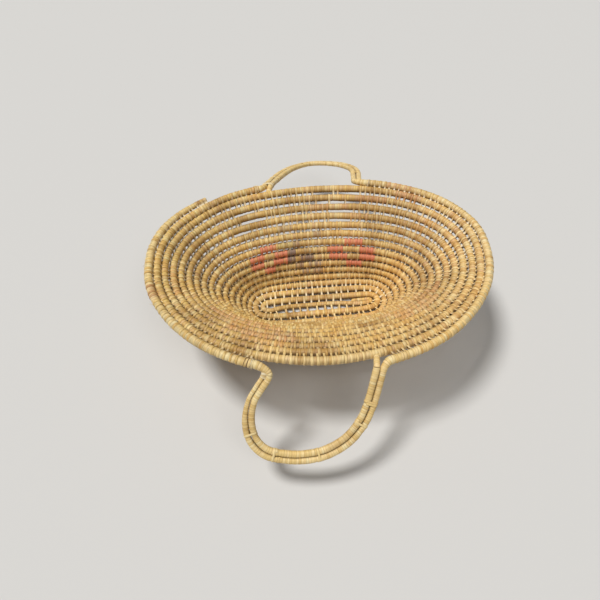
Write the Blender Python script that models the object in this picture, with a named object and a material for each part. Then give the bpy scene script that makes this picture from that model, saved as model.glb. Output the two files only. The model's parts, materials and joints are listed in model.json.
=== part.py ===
"""Oval coiled straw basket with two coiled handles.

World frame in metres: X runs along the basket, Y points to the back handle, Z is up.
The pieces are drawn with the origin under the middle of the base, and at the end all are
moved so that it lies on the table under the middle of the whole outline, handles included.
One coil winds clockwise, seen from above, from the middle of the base to the rim.
A place on it is a turn count: whole numbers lie at the right end, +0.25 at the front,
+0.5 at the left end and +0.75 at the back.
"""

import math

import bmesh
import bpy
import numpy as np
from mathutils import Vector

MM = 0.001

# Coils and the clearance between touching pieces
COIL_DIAMETER = 10.6 * MM
START_DIAMETER = 6.2 * MM
HANDLE_COIL_DIAMETER = 8.0 * MM
TOUCH_GAP = 0.3 * MM
BASE_SIDES = 8
COIL_SIDES = 6
# A six-sided tube is drawn a little larger, so that it holds as much as the round coil
SIX_SIDE_GROWTH = 1.05

# The spiral: the tip of the coil, the long straight start and the first rows
START_HALF_LENGTH = 87.6 * MM
START_OFFSET = 1.9 * MM
START_GAP = 1.0 * MM
START_TURN = -0.2206
FIRST_BACK_TURN = 0.75
STATIONS_PER_TURN = 40

# How each further round is laid: at this turn, the open gap to the round before it,
# the slope of the side wall in degrees, and the growth at the two ends as a share of the
# distance between rounds
WEAVE = (
    (0.75, 4.9 * MM, 0.0, 0.79),
    (1.75, 5.4 * MM, 2.0, 0.74),
    (3.00, 2.8 * MM, 51.0, 0.65),
    (4.50, 2.4 * MM, 62.0, 0.66),
    (7.50, 2.2 * MM, 55.0, 0.74),
    (10.50, 4.8 * MM, 43.0, 0.59),
    (14.00, 5.7 * MM, 32.0, 0.67),
    (15.00, 4.7 * MM, 28.3, 0.64),
    (16.70, 3.0 * MM, 22.0, 0.74),
)

# Rounds go from straight-sided at the base to nearly elliptical on the wall
BASE_CORNER = 0.22
WALL_CORNER = 0.85
CORNER_TURNS = (1.5, 8.0)

# Where the hand-made shape departs from an even oval, growing from the base to the rim
BASE_ASKEW = math.radians(2.2)
BASE_SHIFT = (2.6 * MM, 5.6 * MM)
RIM_SHIFT = (0.9 * MM, -10.3 * MM)
RIM_LEAN = 4.6 * MM
RIM_SKEW = 2.5 * MM
RIM_TURN = 16.0
# How far the rim stands out all round: place on a round, distance outwards, and the turns
# over which this grows
RIM_REACH = (
    (0.00, -2.6 * MM), (0.07, 0.5 * MM), (0.14, 2.2 * MM), (0.25, 0.0), (0.37, 2.0 * MM),
    (0.44, 0.0), (0.51, -3.4 * MM), (0.60, -4.4 * MM), (0.67, -0.5 * MM), (0.80, 0.0),
    (0.94, 0.5 * MM), (1.00, -2.6 * MM),
)
REACH_TURNS = (12.0, 15.5)
# How much closer a round is sewn: in the middle of the base, at the front below the rim, beside
# the back handle, and at the coil's end
TIGHT_SEWING = (
    (0.205, 0.0), (0.247, 5.4 * MM), (0.265, 5.4 * MM), (0.325, 0.0),
    (13.08, 0.0), (13.19, 1.2 * MM), (13.31, 1.2 * MM), (13.42, 0.0),
    (14.08, 0.0), (14.19, 3.0 * MM), (14.31, 3.0 * MM), (14.42, 0.0),
    (15.08, 0.0), (15.19, 2.7 * MM), (15.31, 2.7 * MM), (15.42, 0.0),
    (15.54, 0.0), (15.65, 2.2 * MM), (15.85, 2.2 * MM), (15.97, 0.0),
    (16.55, 0.0), (16.63, 2.4 * MM),
)
# The coil's end, worn thin
RIM_END_TURN = 16.63
RIM_END_DIAMETER = 6.8 * MM
THINNING_TURN = 16.56

# Where the coil is parted into its rounds, one after another, and where the wall starts
PARTING = 0.70
BASE_ROUNDS = 2
WALL_ROUNDS = 15
WALL_START_TURN = BASE_ROUNDS + PARTING

# Stitches: each stands on its own round and reaches back to the round before it.
# One in every other stretch of the coil is modelled
STITCH_WIDTH = 4.0 * MM
STITCH_DEPTH = 2.6 * MM
STITCH_GAP = 0.45 * MM
STITCH_SPACING = 2
FIRST_STITCH_TURN = 0.60
# No stitch where the coil's tip and its first tight bend lie between the rows
START_BEND = (0.765, 1.03)
# Turn counts that stitches keep from partings and legs, and from the mending threads
STITCH_MARGIN = 0.004
THREAD_MARGIN = 0.025

# Handles: two coils side by side, leaving the rim at two legs
HANDLE_COIL_PITCH = 8.7 * MM
# Room beside a leg, so that the handle swings clear of the rim
LEG_GAP = 0.4 * MM
# Middle, half the distance between the legs, reach, and angle below level, at rest
FRONT_PLACE = (-14.9 * MM, 71.6 * MM, 121 * MM, math.radians(43.0))
BACK_PLACE = (-0.5 * MM, 74.0 * MM, 153 * MM, math.radians(26.5))
# Turn counts between which the left and the right leg lie
FRONT_LEG_TURNS = ((16.25, 16.48), (16.02, 16.25))
BACK_LEG_TURNS = ((15.52, 15.75), (15.75, 15.98))
HANDLE_STATIONS = 26
# The loop's middle line: share of the half span sideways, share of the reach outwards
FRONT_LOOP = (
    (-1.00, 0.00), (-1.00, 0.10), (-1.13, 0.22), (-1.27, 0.36), (-1.33, 0.56),
    (-1.26, 0.77), (-1.03, 0.92), (-0.66, 0.98), (-0.30, 0.985), (0.05, 0.94),
    (0.40, 0.82), (0.66, 0.64), (0.82, 0.43), (0.94, 0.18), (0.99, 0.06), (1.00, 0.00),
)
BACK_LOOP = (
    (-1.00, 0.00), (-0.97, 0.09), (-0.80, 0.33), (-0.58, 0.59), (-0.31, 0.82),
    (0.04, 0.98), (0.34, 1.015), (0.63, 0.97), (0.92, 0.855), (1.10, 0.68),
    (1.14, 0.49), (1.08, 0.28), (1.01, 0.09), (1.00, 0.00),
)
# Shares of the loop's length at which a tie joins its two coils
FRONT_TIE_SHARES = (0.10, 0.24, 0.38, 0.52, 0.66, 0.80, 0.92)
BACK_TIE_SHARES = (0.12, 0.28, 0.44, 0.58, 0.72, 0.88)
TIE_LENGTH = 5.0 * MM
TIE_DEPTH = 3.0 * MM

# Wrapped lashings round a handle's left leg, and mending threads round the rim beside it
LASHING_WIDTH = 5.5 * MM
LASHING_THICKNESS = 1.6 * MM
LASHING_GAP = 0.9 * MM
# From the middle of the leg's first stretch, away from the rim
LASHING_SHIFT = 3.6 * MM
THREAD_DIAMETER = 1.6 * MM
THREAD_PLACE = 9.0 * MM
THREAD_SPACING = 4.6 * MM
THREAD_LOOPS = 2.25
THREAD_STEPS = 12
THREAD_SIDES = 5

STRAW = (0.61, 0.45, 0.21, 1.0)
STRAW_PALE = (0.78, 0.67, 0.42, 1.0)
THREAD_BROWN = (0.20, 0.10, 0.05, 1.0)
STRAW_ROUGHNESS = 0.62


def clear_scene():
    for item in list(bpy.data.objects):
        bpy.data.objects.remove(item, do_unlink=True)


def running_total(rate, step):
    """Sum of a rate over evenly spaced turns, starting at zero."""
    return np.concatenate([[0.0], np.cumsum((rate[1:] + rate[:-1]) / 2) * step])


def tube_radius(turn):
    """Half the coil's thickness: it swells from the thin tip to full size, and ends thin."""
    places = [-0.25, FIRST_BACK_TURN, THINNING_TURN, RIM_END_TURN]
    diameters = np.array([START_DIAMETER, COIL_DIAMETER, COIL_DIAMETER, RIM_END_DIAMETER])
    return np.interp(turn, places, diameters / 2)


def eased(places, table):
    """Read a table of places and values, easing from each value to the next."""
    marks, values = np.array(table).T
    rows = np.arange(len(marks))
    row = np.interp(places, marks, rows)
    share = row - np.floor(row)
    return np.interp(np.floor(row) + share * share * (3 - 2 * share), rows, values)


def lay_rounds():
    """Turn, half length, half width and rise of the coil, from the first rows outwards."""
    weave = np.array(WEAVE).T
    last = weave[0][-1] + 1.2
    turn = np.linspace(FIRST_BACK_TURN, last, 1500)
    pitch = COIL_DIAMETER + np.interp(turn, weave[0], weave[1])
    slope = np.radians(np.interp(turn, weave[0], weave[2]))
    share = np.interp(turn, weave[0], weave[3])
    step = turn[1] - turn[0]
    centre_radius = tube_radius(0.25)
    centre_row = START_DIAMETER / 2 + centre_radius + START_GAP - START_OFFSET
    back_row = START_OFFSET + START_DIAMETER / 2 + COIL_DIAMETER / 2 + START_GAP
    growth = pitch[0] * share[0]
    half_width = back_row + running_total(pitch * np.cos(slope), step)
    half_length = START_HALF_LENGTH + FIRST_BACK_TURN * growth + running_total(pitch * share, step)
    rise = running_total(pitch * np.sin(slope), step)
    turn = np.concatenate([[-0.25, 0.25], turn])
    half_width = np.concatenate([[START_OFFSET, centre_row], half_width])
    half_length = np.concatenate([[START_HALF_LENGTH, START_HALF_LENGTH + growth / 4], half_length])
    rise = np.concatenate([[0.0, 0.0], rise])
    slope = np.concatenate([[0.0, 0.0], slope])
    return turn, half_length, half_width, rise, slope


ROUNDS = lay_rounds()


def coil_point(turn):
    """Middle of the coil at each turn count.

    Each round is an oval about a straight line: the line's ends are joined by curves
    that are tight at the base and full at the rim.
    """
    turn = np.asarray(turn, dtype=float)
    half_length = np.interp(turn, ROUNDS[0], ROUNDS[1])
    half_width = np.interp(turn, ROUNDS[0], ROUNDS[2])
    rise = np.interp(turn, ROUNDS[0], ROUNDS[3])
    angle = -2 * np.pi * turn
    cos, sin = np.cos(angle), np.sin(angle)
    blend = np.clip((turn - CORNER_TURNS[0]) / (CORNER_TURNS[1] - CORNER_TURNS[0]), 0, 1)
    blend = blend * blend * (3 - 2 * blend)
    corner = BASE_CORNER + (WALL_CORNER - BASE_CORNER) * blend
    along = cos / np.sqrt(cos * cos + corner * corner * sin * sin)
    up = np.clip((turn - 1) / (RIM_TURN - 1), 0, 1.1)
    bulge = up * up * (RIM_LEAN * np.sin(3 * angle) + RIM_SKEW * np.sin(2 * angle))
    grown = np.clip((turn - REACH_TURNS[0]) / (REACH_TURNS[1] - REACH_TURNS[0]), 0, 1)
    bulge = bulge + grown * eased(turn % 1, RIM_REACH)
    slope = np.interp(turn, ROUNDS[0], ROUNDS[4])
    drawn_in = eased(turn, TIGHT_SEWING)
    bulge = bulge - drawn_in * np.cos(slope)
    rise = rise - drawn_in * np.sin(slope)
    x = (half_length - half_width) * along + (half_width + bulge) * cos
    y = (half_width + bulge) * sin
    askew = BASE_ASKEW * (1 - up)
    shift_x = BASE_SHIFT[0] + (RIM_SHIFT[0] - BASE_SHIFT[0]) * up
    shift_y = BASE_SHIFT[1] + (RIM_SHIFT[1] - BASE_SHIFT[1]) * up
    height = tube_radius(turn) * math.cos(math.pi / BASE_SIDES) + rise
    return np.stack([
        x * np.cos(askew) - y * np.sin(askew) + shift_x,
        x * np.sin(askew) + y * np.cos(askew) + shift_y,
        height,
    ], axis=-1)


def unit(vectors):
    return vectors / np.linalg.norm(vectors, axis=-1, keepdims=True)


def coil_frame(turn):
    """Along the coil, towards the next round, and square to both."""
    turn = np.asarray(turn, dtype=float)
    step = 1e-4
    along = unit(coil_point(turn + step) - coil_point(turn - step))
    outward = np.cross([0.0, 0.0, 1.0], along)
    outward[..., 2] = 0
    outward = unit(outward)
    slope = np.interp(turn, ROUNDS[0], ROUNDS[4])[..., None]
    next_round = np.cos(slope) * outward + np.sin(slope) * np.array([0.0, 0.0, 1.0])
    next_round = unit(next_round - along * np.sum(next_round * along, axis=-1, keepdims=True))
    return along, next_round, np.cross(next_round, along)


def turn_where_x(x, first, last):
    """Turn count between two others at which the coil passes a given X."""
    turns = np.linspace(first, last, 4001)
    passed = coil_point(turns)[:, 0]
    order = np.argsort(passed)
    return float(np.interp(x, passed[order], turns[order]))


def ring_points(centre, side, over, radius, sides):
    """Corners of many-sided rings whose flats face the side direction."""
    angles = (np.arange(sides) + 0.5) * 2 * np.pi / sides
    across = np.cos(angles)[None, :, None] * side[:, None, :]
    upward = np.sin(angles)[None, :, None] * over[:, None, :]
    return centre[:, None, :] + radius[:, None, None] * (across + upward)


def add_material(item, name, colour, roughness):
    material = bpy.data.materials.new(name)
    material.use_nodes = True
    shader = material.node_tree.nodes["Principled BSDF"]
    shader.inputs["Base Color"].default_value = colour
    shader.inputs["Roughness"].default_value = roughness
    shader.inputs["Metallic"].default_value = 0.0
    material.diffuse_color = colour
    item.data.materials.append(material)


def make_object(name, solid, colour, parent=None, origin=(0.0, 0.0, 0.0)):
    """One named, smooth-shaded object from a closed solid's corners and faces in the world."""
    corners, faces = solid
    mesh = bpy.data.meshes.new(name)
    mesh.from_pydata((np.asarray(corners) - np.asarray(origin)).tolist(), [], faces)
    build = bmesh.new()
    build.from_mesh(mesh)
    bmesh.ops.triangulate(build, faces=build.faces)
    bmesh.ops.recalc_face_normals(build, faces=build.faces)
    build.to_mesh(mesh)
    build.free()
    for polygon in mesh.polygons:
        polygon.use_smooth = True
    item = bpy.data.objects.new(name, mesh)
    bpy.context.collection.objects.link(item)
    item.parent = parent
    add_material(item, name + "_finish", colour, STRAW_ROUGHNESS)


def tube_solid(rings, teeth=None):
    """A closed tube through rings of corners, with flat caps.

    teeth gives, for a stretch and side, the root and tip corners of a tooth on that flat.
    """
    teeth = teeth or {}
    count, sides = rings.shape[0], rings.shape[1]
    corners = rings.reshape(-1, 3).tolist()
    faces = []
    for ring in range(count - 1):
        for side in range(sides):
            nxt = (side + 1) % sides
            low, high = ring * sides, (ring + 1) * sides
            quad = [low + side, low + nxt, high + nxt, high + side]
            if (ring, side) not in teeth:
                faces.append(quad)
                continue
            root, tip = teeth[(ring, side)]
            foot = range(len(corners), len(corners) + 4)
            top = range(len(corners) + 4, len(corners) + 8)
            corners.extend(root.tolist() + tip.tolist())
            for edge in range(4):
                after = (edge + 1) % 4
                faces.append([quad[edge], quad[after], foot[after], foot[edge]])
                faces.append([foot[edge], foot[after], top[after], top[edge]])
            faces.append(list(top))
    faces.append(list(range(sides)))
    faces.append([(count - 1) * sides + side for side in range(sides)])
    return np.array(corners), faces


def closed_band(rings):
    """A closed loop of rings, such as a wrapped band, joined end to start."""
    count, sides = rings.shape[0], rings.shape[1]
    faces = []
    for ring in range(count):
        after = (ring + 1) % count
        for side in range(sides):
            nxt = (side + 1) % sides
            faces.append([ring * sides + side, ring * sides + nxt,
                          after * sides + nxt, after * sides + side])
    return rings.reshape(-1, 3), faces


def coil_turns(first, last):
    """Turn counts from first to last, on the shared stations between them."""
    low = math.ceil(first * STATIONS_PER_TURN + 0.3)
    high = math.floor(last * STATIONS_PER_TURN - 0.3)
    inner = np.arange(low, high + 1) / STATIONS_PER_TURN
    return np.concatenate([[first], inner, [last]])


def coil_rings(turns, sides):
    along, side, over = coil_frame(turns)
    growth = SIX_SIDE_GROWTH if sides == COIL_SIDES else 1.0
    return ring_points(coil_point(turns), side, over, tube_radius(turns) * growth, sides)


def trim_to_plane(rings, turns, end, point, normal):
    """Slide an end ring's corners along the coil until they lie on a plane."""
    along = coil_frame(turns)[0][end]
    reach = (point - rings[end]) @ normal / (along @ normal)
    rings[end] = rings[end] + reach[:, None] * along


def half_gap_turns(turn):
    """Turn counts just before and after a parting, half the touching gap away."""
    step = 1e-3
    pace = np.linalg.norm(coil_point(turn + step) - coil_point(turn - step)) / (2 * step)
    return turn - TOUCH_GAP / 2 / pace, turn + TOUCH_GAP / 2 / pace


class Handle:
    """A handle's place: its two legs on the rim, its hinge line and its drooping plane."""

    def __init__(self, name, place, leg_turns, side, loop, ties):
        self.name = name
        self.leg_turns = leg_turns
        middle, self.half_span, self.reach, self.droop = place
        self.loop = loop
        self.ties = ties
        self.side = side
        self.radius = HANDLE_COIL_DIAMETER / 2 * SIX_SIDE_GROWTH
        left_turn = turn_where_x(middle - self.half_span, *leg_turns[0])
        right_turn = turn_where_x(middle + self.half_span, *leg_turns[1])
        left, right = coil_point(left_turn), coil_point(right_turn)
        self.across = unit(right - left)
        self.middle = (left + right) / 2
        self.half_pitch = HANDLE_COIL_PITCH / 2
        self.clear_end = self.half_span + self.half_pitch + self.radius + LEG_GAP
        level_out = unit(np.cross(self.across, [0.0, 0.0, 1.0]) * -side)
        upright = abs(np.cross(level_out, self.across))
        self.outward = unit(math.cos(self.droop) * level_out - math.sin(self.droop) * upright)
        self.square = np.cross(self.across, self.outward)

    def axis(self):
        """Hinge direction: a positive turn lifts the handle."""
        return self.across * self.side

    def end_plane(self, leg):
        """Plane, square to the hinge line, where a rim coil stops beside a leg."""
        return self.middle + self.across * self.clear_end * leg, self.across

    def path(self, offset, count=HANDLE_STATIONS):
        """Points and directions along the loop, shifted sideways from its middle line."""
        shares = np.array(self.loop)
        sideways = shares[:, 0] * self.half_span
        outwards = shares[:, 1] * self.reach
        fine = smooth_line(np.stack([sideways, outwards], axis=-1), 400)
        run = np.concatenate([[0], np.cumsum(np.linalg.norm(np.diff(fine, axis=0), axis=1))])
        places = np.linspace(0, run[-1], count)
        flat = np.stack([np.interp(places, run, fine[:, i]) for i in (0, 1)], axis=-1)
        ahead = np.stack([np.interp(places + MM, run, fine[:, i]) for i in (0, 1)], axis=-1)
        behind = np.stack([np.interp(places - MM, run, fine[:, i]) for i in (0, 1)], axis=-1)
        direction = unit(ahead - behind)
        direction[0], direction[-1] = (0.0, 1.0), (0.0, -1.0)
        left_hand = np.stack([-direction[:, 1], direction[:, 0]], axis=-1)
        flat = flat + left_hand * offset
        return flat, direction, left_hand

    def to_world(self, flat):
        return self.middle + flat[:, :1] * self.across + flat[:, 1:] * self.outward

    def turn_to_world(self, flat):
        return flat[:, :1] * self.across + flat[:, 1:] * self.outward

    def stretch(self, number):
        """Middle, forward and sideways directions of one straight stretch of the loop."""
        flat, _, left_hand = self.path(0.0)
        pair = slice(number, number + 2)
        places = self.to_world(flat[pair])
        forward = unit(places[1] - places[0])
        side = self.turn_to_world(left_hand[pair]).mean(axis=0)
        side = unit(side - forward * (side @ forward))
        return places.mean(axis=0), forward, side


def smooth_line(points, count):
    """A smooth line through hand-chosen points: cubic pieces with even tangents."""
    padded = np.concatenate([[2 * points[0] - points[1]], points, [2 * points[-1] - points[-2]]])
    places = np.linspace(0, len(points) - 1 - 1e-9, count)
    piece = places.astype(int)
    share = (places - piece)[:, None]
    before, start, end, after = (padded[piece + shift] for shift in range(4))
    return 0.5 * (2 * start + (end - before) * share
                  + (2 * before - 5 * start + 4 * end - after) * share ** 2
                  + (3 * start - before - 3 * end + after) * share ** 3)


def handle_coil_solid(handle, offset, tied):
    """One of a handle's two coils, with rounded ends on the hinge line."""
    flat, direction, left_hand = handle.path(offset)
    centres = handle.to_world(flat)
    forward = handle.turn_to_world(direction)
    side = handle.turn_to_world(left_hand)
    over = np.repeat(handle.square[None, :], len(flat), axis=0)
    radii = np.full(len(flat), handle.radius)
    angles = np.radians([25.0, 58.0])
    first = [centres[0] - forward[0] * handle.radius * math.cos(a) for a in angles]
    last = [centres[-1] + forward[-1] * handle.radius * math.cos(a) for a in angles[::-1]]
    centres = np.concatenate([first, centres, last])
    side = np.concatenate([side[:1], side[:1], side, side[-1:], side[-1:]])
    over = np.concatenate([over[:1], over[:1], over, over[-1:], over[-1:]])
    small = handle.radius * np.sin(angles)
    radii = np.concatenate([small, radii, small[::-1]])
    rings = ring_points(centres, side, over, radii, COIL_SIDES)
    return tube_solid(rings, handle_teeth(handle, rings) if tied else None)


def handle_teeth(handle, rings):
    """Ties on the outer coil of a handle, reaching to the flat of its inner coil."""
    apothem = handle.radius * math.cos(math.pi / COIL_SIDES)
    root_at = handle.half_pitch - apothem
    tip_at = STITCH_GAP - root_at
    end_rings = (rings.shape[0] - HANDLE_STATIONS) // 2
    facing = COIL_SIDES // 2 - 1
    teeth = {}
    for share in handle.ties:
        stretch = int(share * (HANDLE_STATIONS - 1))
        centre, forward, side = handle.stretch(stretch)
        corners = [(-1, -1), (-1, 1), (1, 1), (1, -1)]
        low, high = rings[end_rings + stretch][facing], rings[end_rings + stretch][facing + 1]
        up = 1 if (high - low) @ handle.square > 0 else -1
        faces = [np.array([centre + side * away + forward * TIE_LENGTH / 2 * a
                           + handle.square * up * TIE_DEPTH / 2 * b for a, b in corners])
                 for away in (root_at, tip_at)]
        teeth[(end_rings + stretch, facing)] = faces
    return teeth


def lashing_solid(handle):
    """A wrapped band round both coils of a handle's left leg, on their first straight stretch."""
    centre, forward, side = handle.stretch(0)
    centre = centre + forward * LASHING_SHIFT
    inner = handle.radius + LASHING_GAP
    outer = inner + LASHING_THICKNESS
    rings = []
    bend = np.radians(np.arange(-90, 91, 36))
    for leg, start in ((1, 0.0), (-1, math.pi)):
        for angle in bend:
            turn = angle + start
            out = math.cos(turn) * side + math.sin(turn) * handle.square
            hub = centre + leg * handle.half_pitch * side
            half = LASHING_WIDTH / 2 * forward
            rings.append([hub + out * inner - half, hub + out * outer - half,
                          hub + out * outer + half, hub + out * inner + half])
    return closed_band(np.array(rings))


def thread_solid(stations, end):
    """A mending thread wound round a rim coil near one of its ends, 0 or -1.

    It follows the straight stretches between the coil's stations.
    """
    line = coil_point(stations)
    inward = 1 if end == 0 else -1
    pace = np.linalg.norm(line[end + inward] - line[end]) / abs(
        stations[end + inward] - stations[end])
    winds = np.linspace(0, THREAD_LOOPS, int(THREAD_LOOPS * THREAD_STEPS) + 1)
    turns = stations[end] + inward * (THREAD_PLACE + winds * THREAD_SPACING) / pace
    middle = np.stack([np.interp(turns, stations, line[:, axis]) for axis in range(3)], axis=-1)
    along, side, over = coil_frame(turns)
    half = THREAD_DIAMETER / 2
    facet = math.cos(math.pi / THREAD_STEPS)
    hub = (tube_radius(turns) * SIX_SIDE_GROWTH + TOUCH_GAP + half)[:, None] / facet
    angle = (2 * math.pi * winds)[:, None]
    out = np.cos(angle) * side + np.sin(angle) * over
    radii = np.full(len(winds), half)
    return tube_solid(ring_points(middle + out * hub, out, along, radii, THREAD_SIDES))


def coil_sides(turn):
    return BASE_SIDES if turn < WALL_START_TURN else COIL_SIDES


def facing_flat(turn, inward):
    """Middle and directions of the flat, one station long, that faces the next round.

    With inward, the flat that faces the round before.
    """
    turns = np.array([turn, turn + 1 / STATIONS_PER_TURN])
    sides = coil_sides(turn)
    rings = coil_rings(turns, sides)
    first, second = (sides // 2 - 1, sides // 2) if inward else (sides - 1, 0)
    middle = (rings[:, first] + rings[:, second]).mean(axis=0) / 2
    along = unit((rings[1, first] + rings[1, second]) - (rings[0, first] + rings[0, second]))
    over = unit((rings[:, second] - rings[:, first]).mean(axis=0))
    over = unit(over - along * (over @ along))
    out = np.cross(over, along)
    outward = middle - coil_point(turns).mean(axis=0)
    return middle, along, over, out * (1 if out @ outward > 0 else -1)


def sewn_to(turn):
    """Place on the coil that the stitch at a turn count is sewn to, and which of its flats."""
    if turn >= 1.0:
        return turn - 1, False
    middle_x = coil_point(turn + 0.5 / STATIONS_PER_TURN)[0]
    return turn_where_x(middle_x, 0.08, 0.42) - 0.5 / STATIONS_PER_TURN, True


def tooth(turn):
    """Root and tip corners of the stitch from one round back to the round before it."""
    middle, along, over, _ = facing_flat(turn, True)
    target, inward = sewn_to(turn)
    far_middle, far_along, far_over, far_out = facing_flat(target, inward)
    if far_along @ along < 0:
        far_along = -far_along
    if far_over @ over < 0:
        far_over = -far_over
    half_long, half_deep = STITCH_WIDTH / 2, STITCH_DEPTH / 2
    corners = [(-1, -1), (-1, 1), (1, 1), (1, -1)]
    root = np.array([middle + along * half_long * a + over * half_deep * b for a, b in corners])
    tip_middle = far_middle + far_out * STITCH_GAP
    tip = np.array([tip_middle + far_along * half_long * a + far_over * half_deep * b
                    for a, b in corners])
    return root, tip


def coil_teeth(turns, sides, keep_clear):
    """Stitches on every other full stretch of a coil piece, staggered from round to round."""
    facing = sides // 2 - 1
    teeth = {}
    for ring in range(1, len(turns) - 2):
        station = round(turns[ring] * STATIONS_PER_TURN)
        turn = station / STATIONS_PER_TURN
        if turn < FIRST_STITCH_TURN or (station + station // STATIONS_PER_TURN) % STITCH_SPACING:
            continue
        if START_BEND[0] < turn < START_BEND[1]:
            continue
        stretch = 1 / STATIONS_PER_TURN
        reached = (turn, turn + stretch, turn - 1, turn - 1 + stretch)
        if any(low < place < high for low, high in keep_clear for place in reached):
            continue
        teeth[(ring, facing)] = tooth(turn)
    return teeth


def least_gap():
    """Smallest open distance between a round and the next, and its place, over points on both."""
    turns = np.arange(START_TURN, RIM_END_TURN, 1 / 128)
    centres = coil_point(turns)
    reach = {sides: coil_rings(turns, sides) - centres[:, None, :]
             for sides in (BASE_SIDES, COIL_SIDES)}
    smallest = (1.0, 0.0)
    for index, turn in enumerate(turns):
        for sides in (BASE_SIDES, COIL_SIDES):
            wall = turns >= WALL_START_TURN
            far = np.nonzero((turns > turn + 0.4) & (turns < turn + 1.4)
                             & (wall == (sides == COIL_SIDES)))[0]
            if not len(far):
                continue
            between = centres[far] - centres[index]
            distance = np.linalg.norm(between, axis=1)
            way = between / distance[:, None]
            own_reach = (reach[coil_sides(turn)][index] @ way.T).max(axis=0)
            far_reach = (-reach[sides][far] * way[:, None, :]).sum(axis=2).max(axis=1)
            gap = float((distance - own_reach - far_reach).min())
            smallest = min(smallest, (gap, turn))
    return smallest


def centre_on_table():
    """Move every piece so that the origin is under the middle of the outline; return the move."""
    bpy.context.view_layer.update()
    corners = [item.matrix_world @ Vector(corner) for item in bpy.data.objects
               if item.type == "MESH" for corner in item.bound_box]
    corners = np.array(corners)
    low, high = corners.min(axis=0), corners.max(axis=0)
    move = np.array([-(low[0] + high[0]) / 2, -(low[1] + high[1]) / 2, -low[2]])
    for item in bpy.data.objects:
        if item.parent is None:
            item.location = np.array(item.location) + move
    return move


def main():
    clear_scene()

    front = Handle("front_handle", FRONT_PLACE, FRONT_LEG_TURNS, -1, FRONT_LOOP,
                   FRONT_TIE_SHARES)
    back = Handle("back_handle", BACK_PLACE, BACK_LEG_TURNS, 1, BACK_LOOP, BACK_TIE_SHARES)

    # Turn counts where the rim coils stop beside the handles' legs
    stops = {}
    for key, handle, leg in (("front_right", front, 1), ("front_left", front, -1),
                             ("back_right", back, 1), ("back_left", back, -1)):
        point, normal = handle.end_plane(leg)
        window = handle.leg_turns[0 if leg < 0 else 1]
        stops[key] = (turn_where_x(point[0], *window), point, normal)

    # The coil, parted into its rounds; the last rounds stop beside the handles' legs
    partings = [half_gap_turns(number + PARTING) for number in range(WALL_ROUNDS)]
    parts = [("base_start_coil", START_TURN, partings[0][0], None, None)]
    for number in range(1, WALL_ROUNDS + 1):
        first = partings[number - 1][1]
        if number < WALL_ROUNDS:
            parts.append(("round_%02d_coil" % number, first, partings[number][0], None, None))
        else:
            parts.append(("round_%02d_coil" % number, first, stops["back_left"][0],
                          None, "back_left"))
    parts.append(("right_rim_coil", stops["back_right"][0], stops["front_right"][0],
                  "back_right", "front_right"))
    parts.append(("left_rim_coil", stops["front_left"][0], RIM_END_TURN, "front_left", None))
    keep_clear = [(stops["back_left"][0] - STITCH_MARGIN, stops["back_right"][0] + STITCH_MARGIN),
                  (stops["front_right"][0] - STITCH_MARGIN,
                   stops["front_left"][0] + THREAD_MARGIN),
                  (RIM_END_TURN - THREAD_MARGIN, RIM_END_TURN + 1)]
    keep_clear += [(before - STITCH_MARGIN, after + STITCH_MARGIN) for before, after in partings]
    stations = {}
    for name, first, last, trim_first, trim_last in parts:
        turns = coil_turns(first, last)
        stations[name] = turns
        sides = coil_sides(first)
        rings = coil_rings(turns, sides)
        if trim_first:
            trim_to_plane(rings, turns, 0, *stops[trim_first][1:])
        if trim_last:
            trim_to_plane(rings, turns, -1, *stops[trim_last][1:])
        make_object(name, tube_solid(rings, coil_teeth(turns, sides, keep_clear)), STRAW)

    # Handles, each on an empty at its hinge
    for handle in (front, back):
        hinge = bpy.data.objects.new(handle.name + "_hinge", None)
        hinge.location = handle.middle
        bpy.context.collection.objects.link(hinge)
        for label, offset, tied in (("outer", handle.half_pitch, True),
                                    ("inner", -handle.half_pitch, False)):
            make_object("%s_%s_coil" % (handle.name, label),
                        handle_coil_solid(handle, offset, tied), STRAW, hinge, handle.middle)
        make_object(handle.name + "_lashing", lashing_solid(handle), STRAW_PALE, hinge,
                    handle.middle)

    make_object("front_mending_thread", thread_solid(stations["left_rim_coil"], 0), THREAD_BROWN)
    make_object("back_mending_thread", thread_solid(stations["left_rim_coil"], -1), THREAD_BROWN)

    move = centre_on_table()
    gap, place = least_gap()
    print("least gap between rounds, mm: %.2f at turn %.2f" % (gap / MM, place))
    print("moved by", np.round(move, 6).tolist())
    for handle in (front, back):
        print(handle.name, "hinge at", np.round(handle.middle + move, 6).tolist(),
              "axis", np.round(handle.axis(), 6).tolist(),
              "droop", round(math.degrees(handle.droop), 3))
    print("middle row at", np.round(coil_point(0.25) + move, 5).tolist())


main()
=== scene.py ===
"""Oval coiled straw basket with two coiled loop handles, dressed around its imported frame.

World frame in metres, +Z up. One wrapped coil winds clockwise, seen from above, from the
middle of the base to the rim. A turn count says where on it a place lies: whole numbers lie
at the right end, +0.25 at the front, +0.5 at the left end and +0.75 at the back.
"""

import json
import logging
import math
from dataclasses import dataclass, field
from enum import Enum
from typing import Optional, TypeVar

import bpy
import numpy as np
from mathutils import Matrix, Vector

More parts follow.
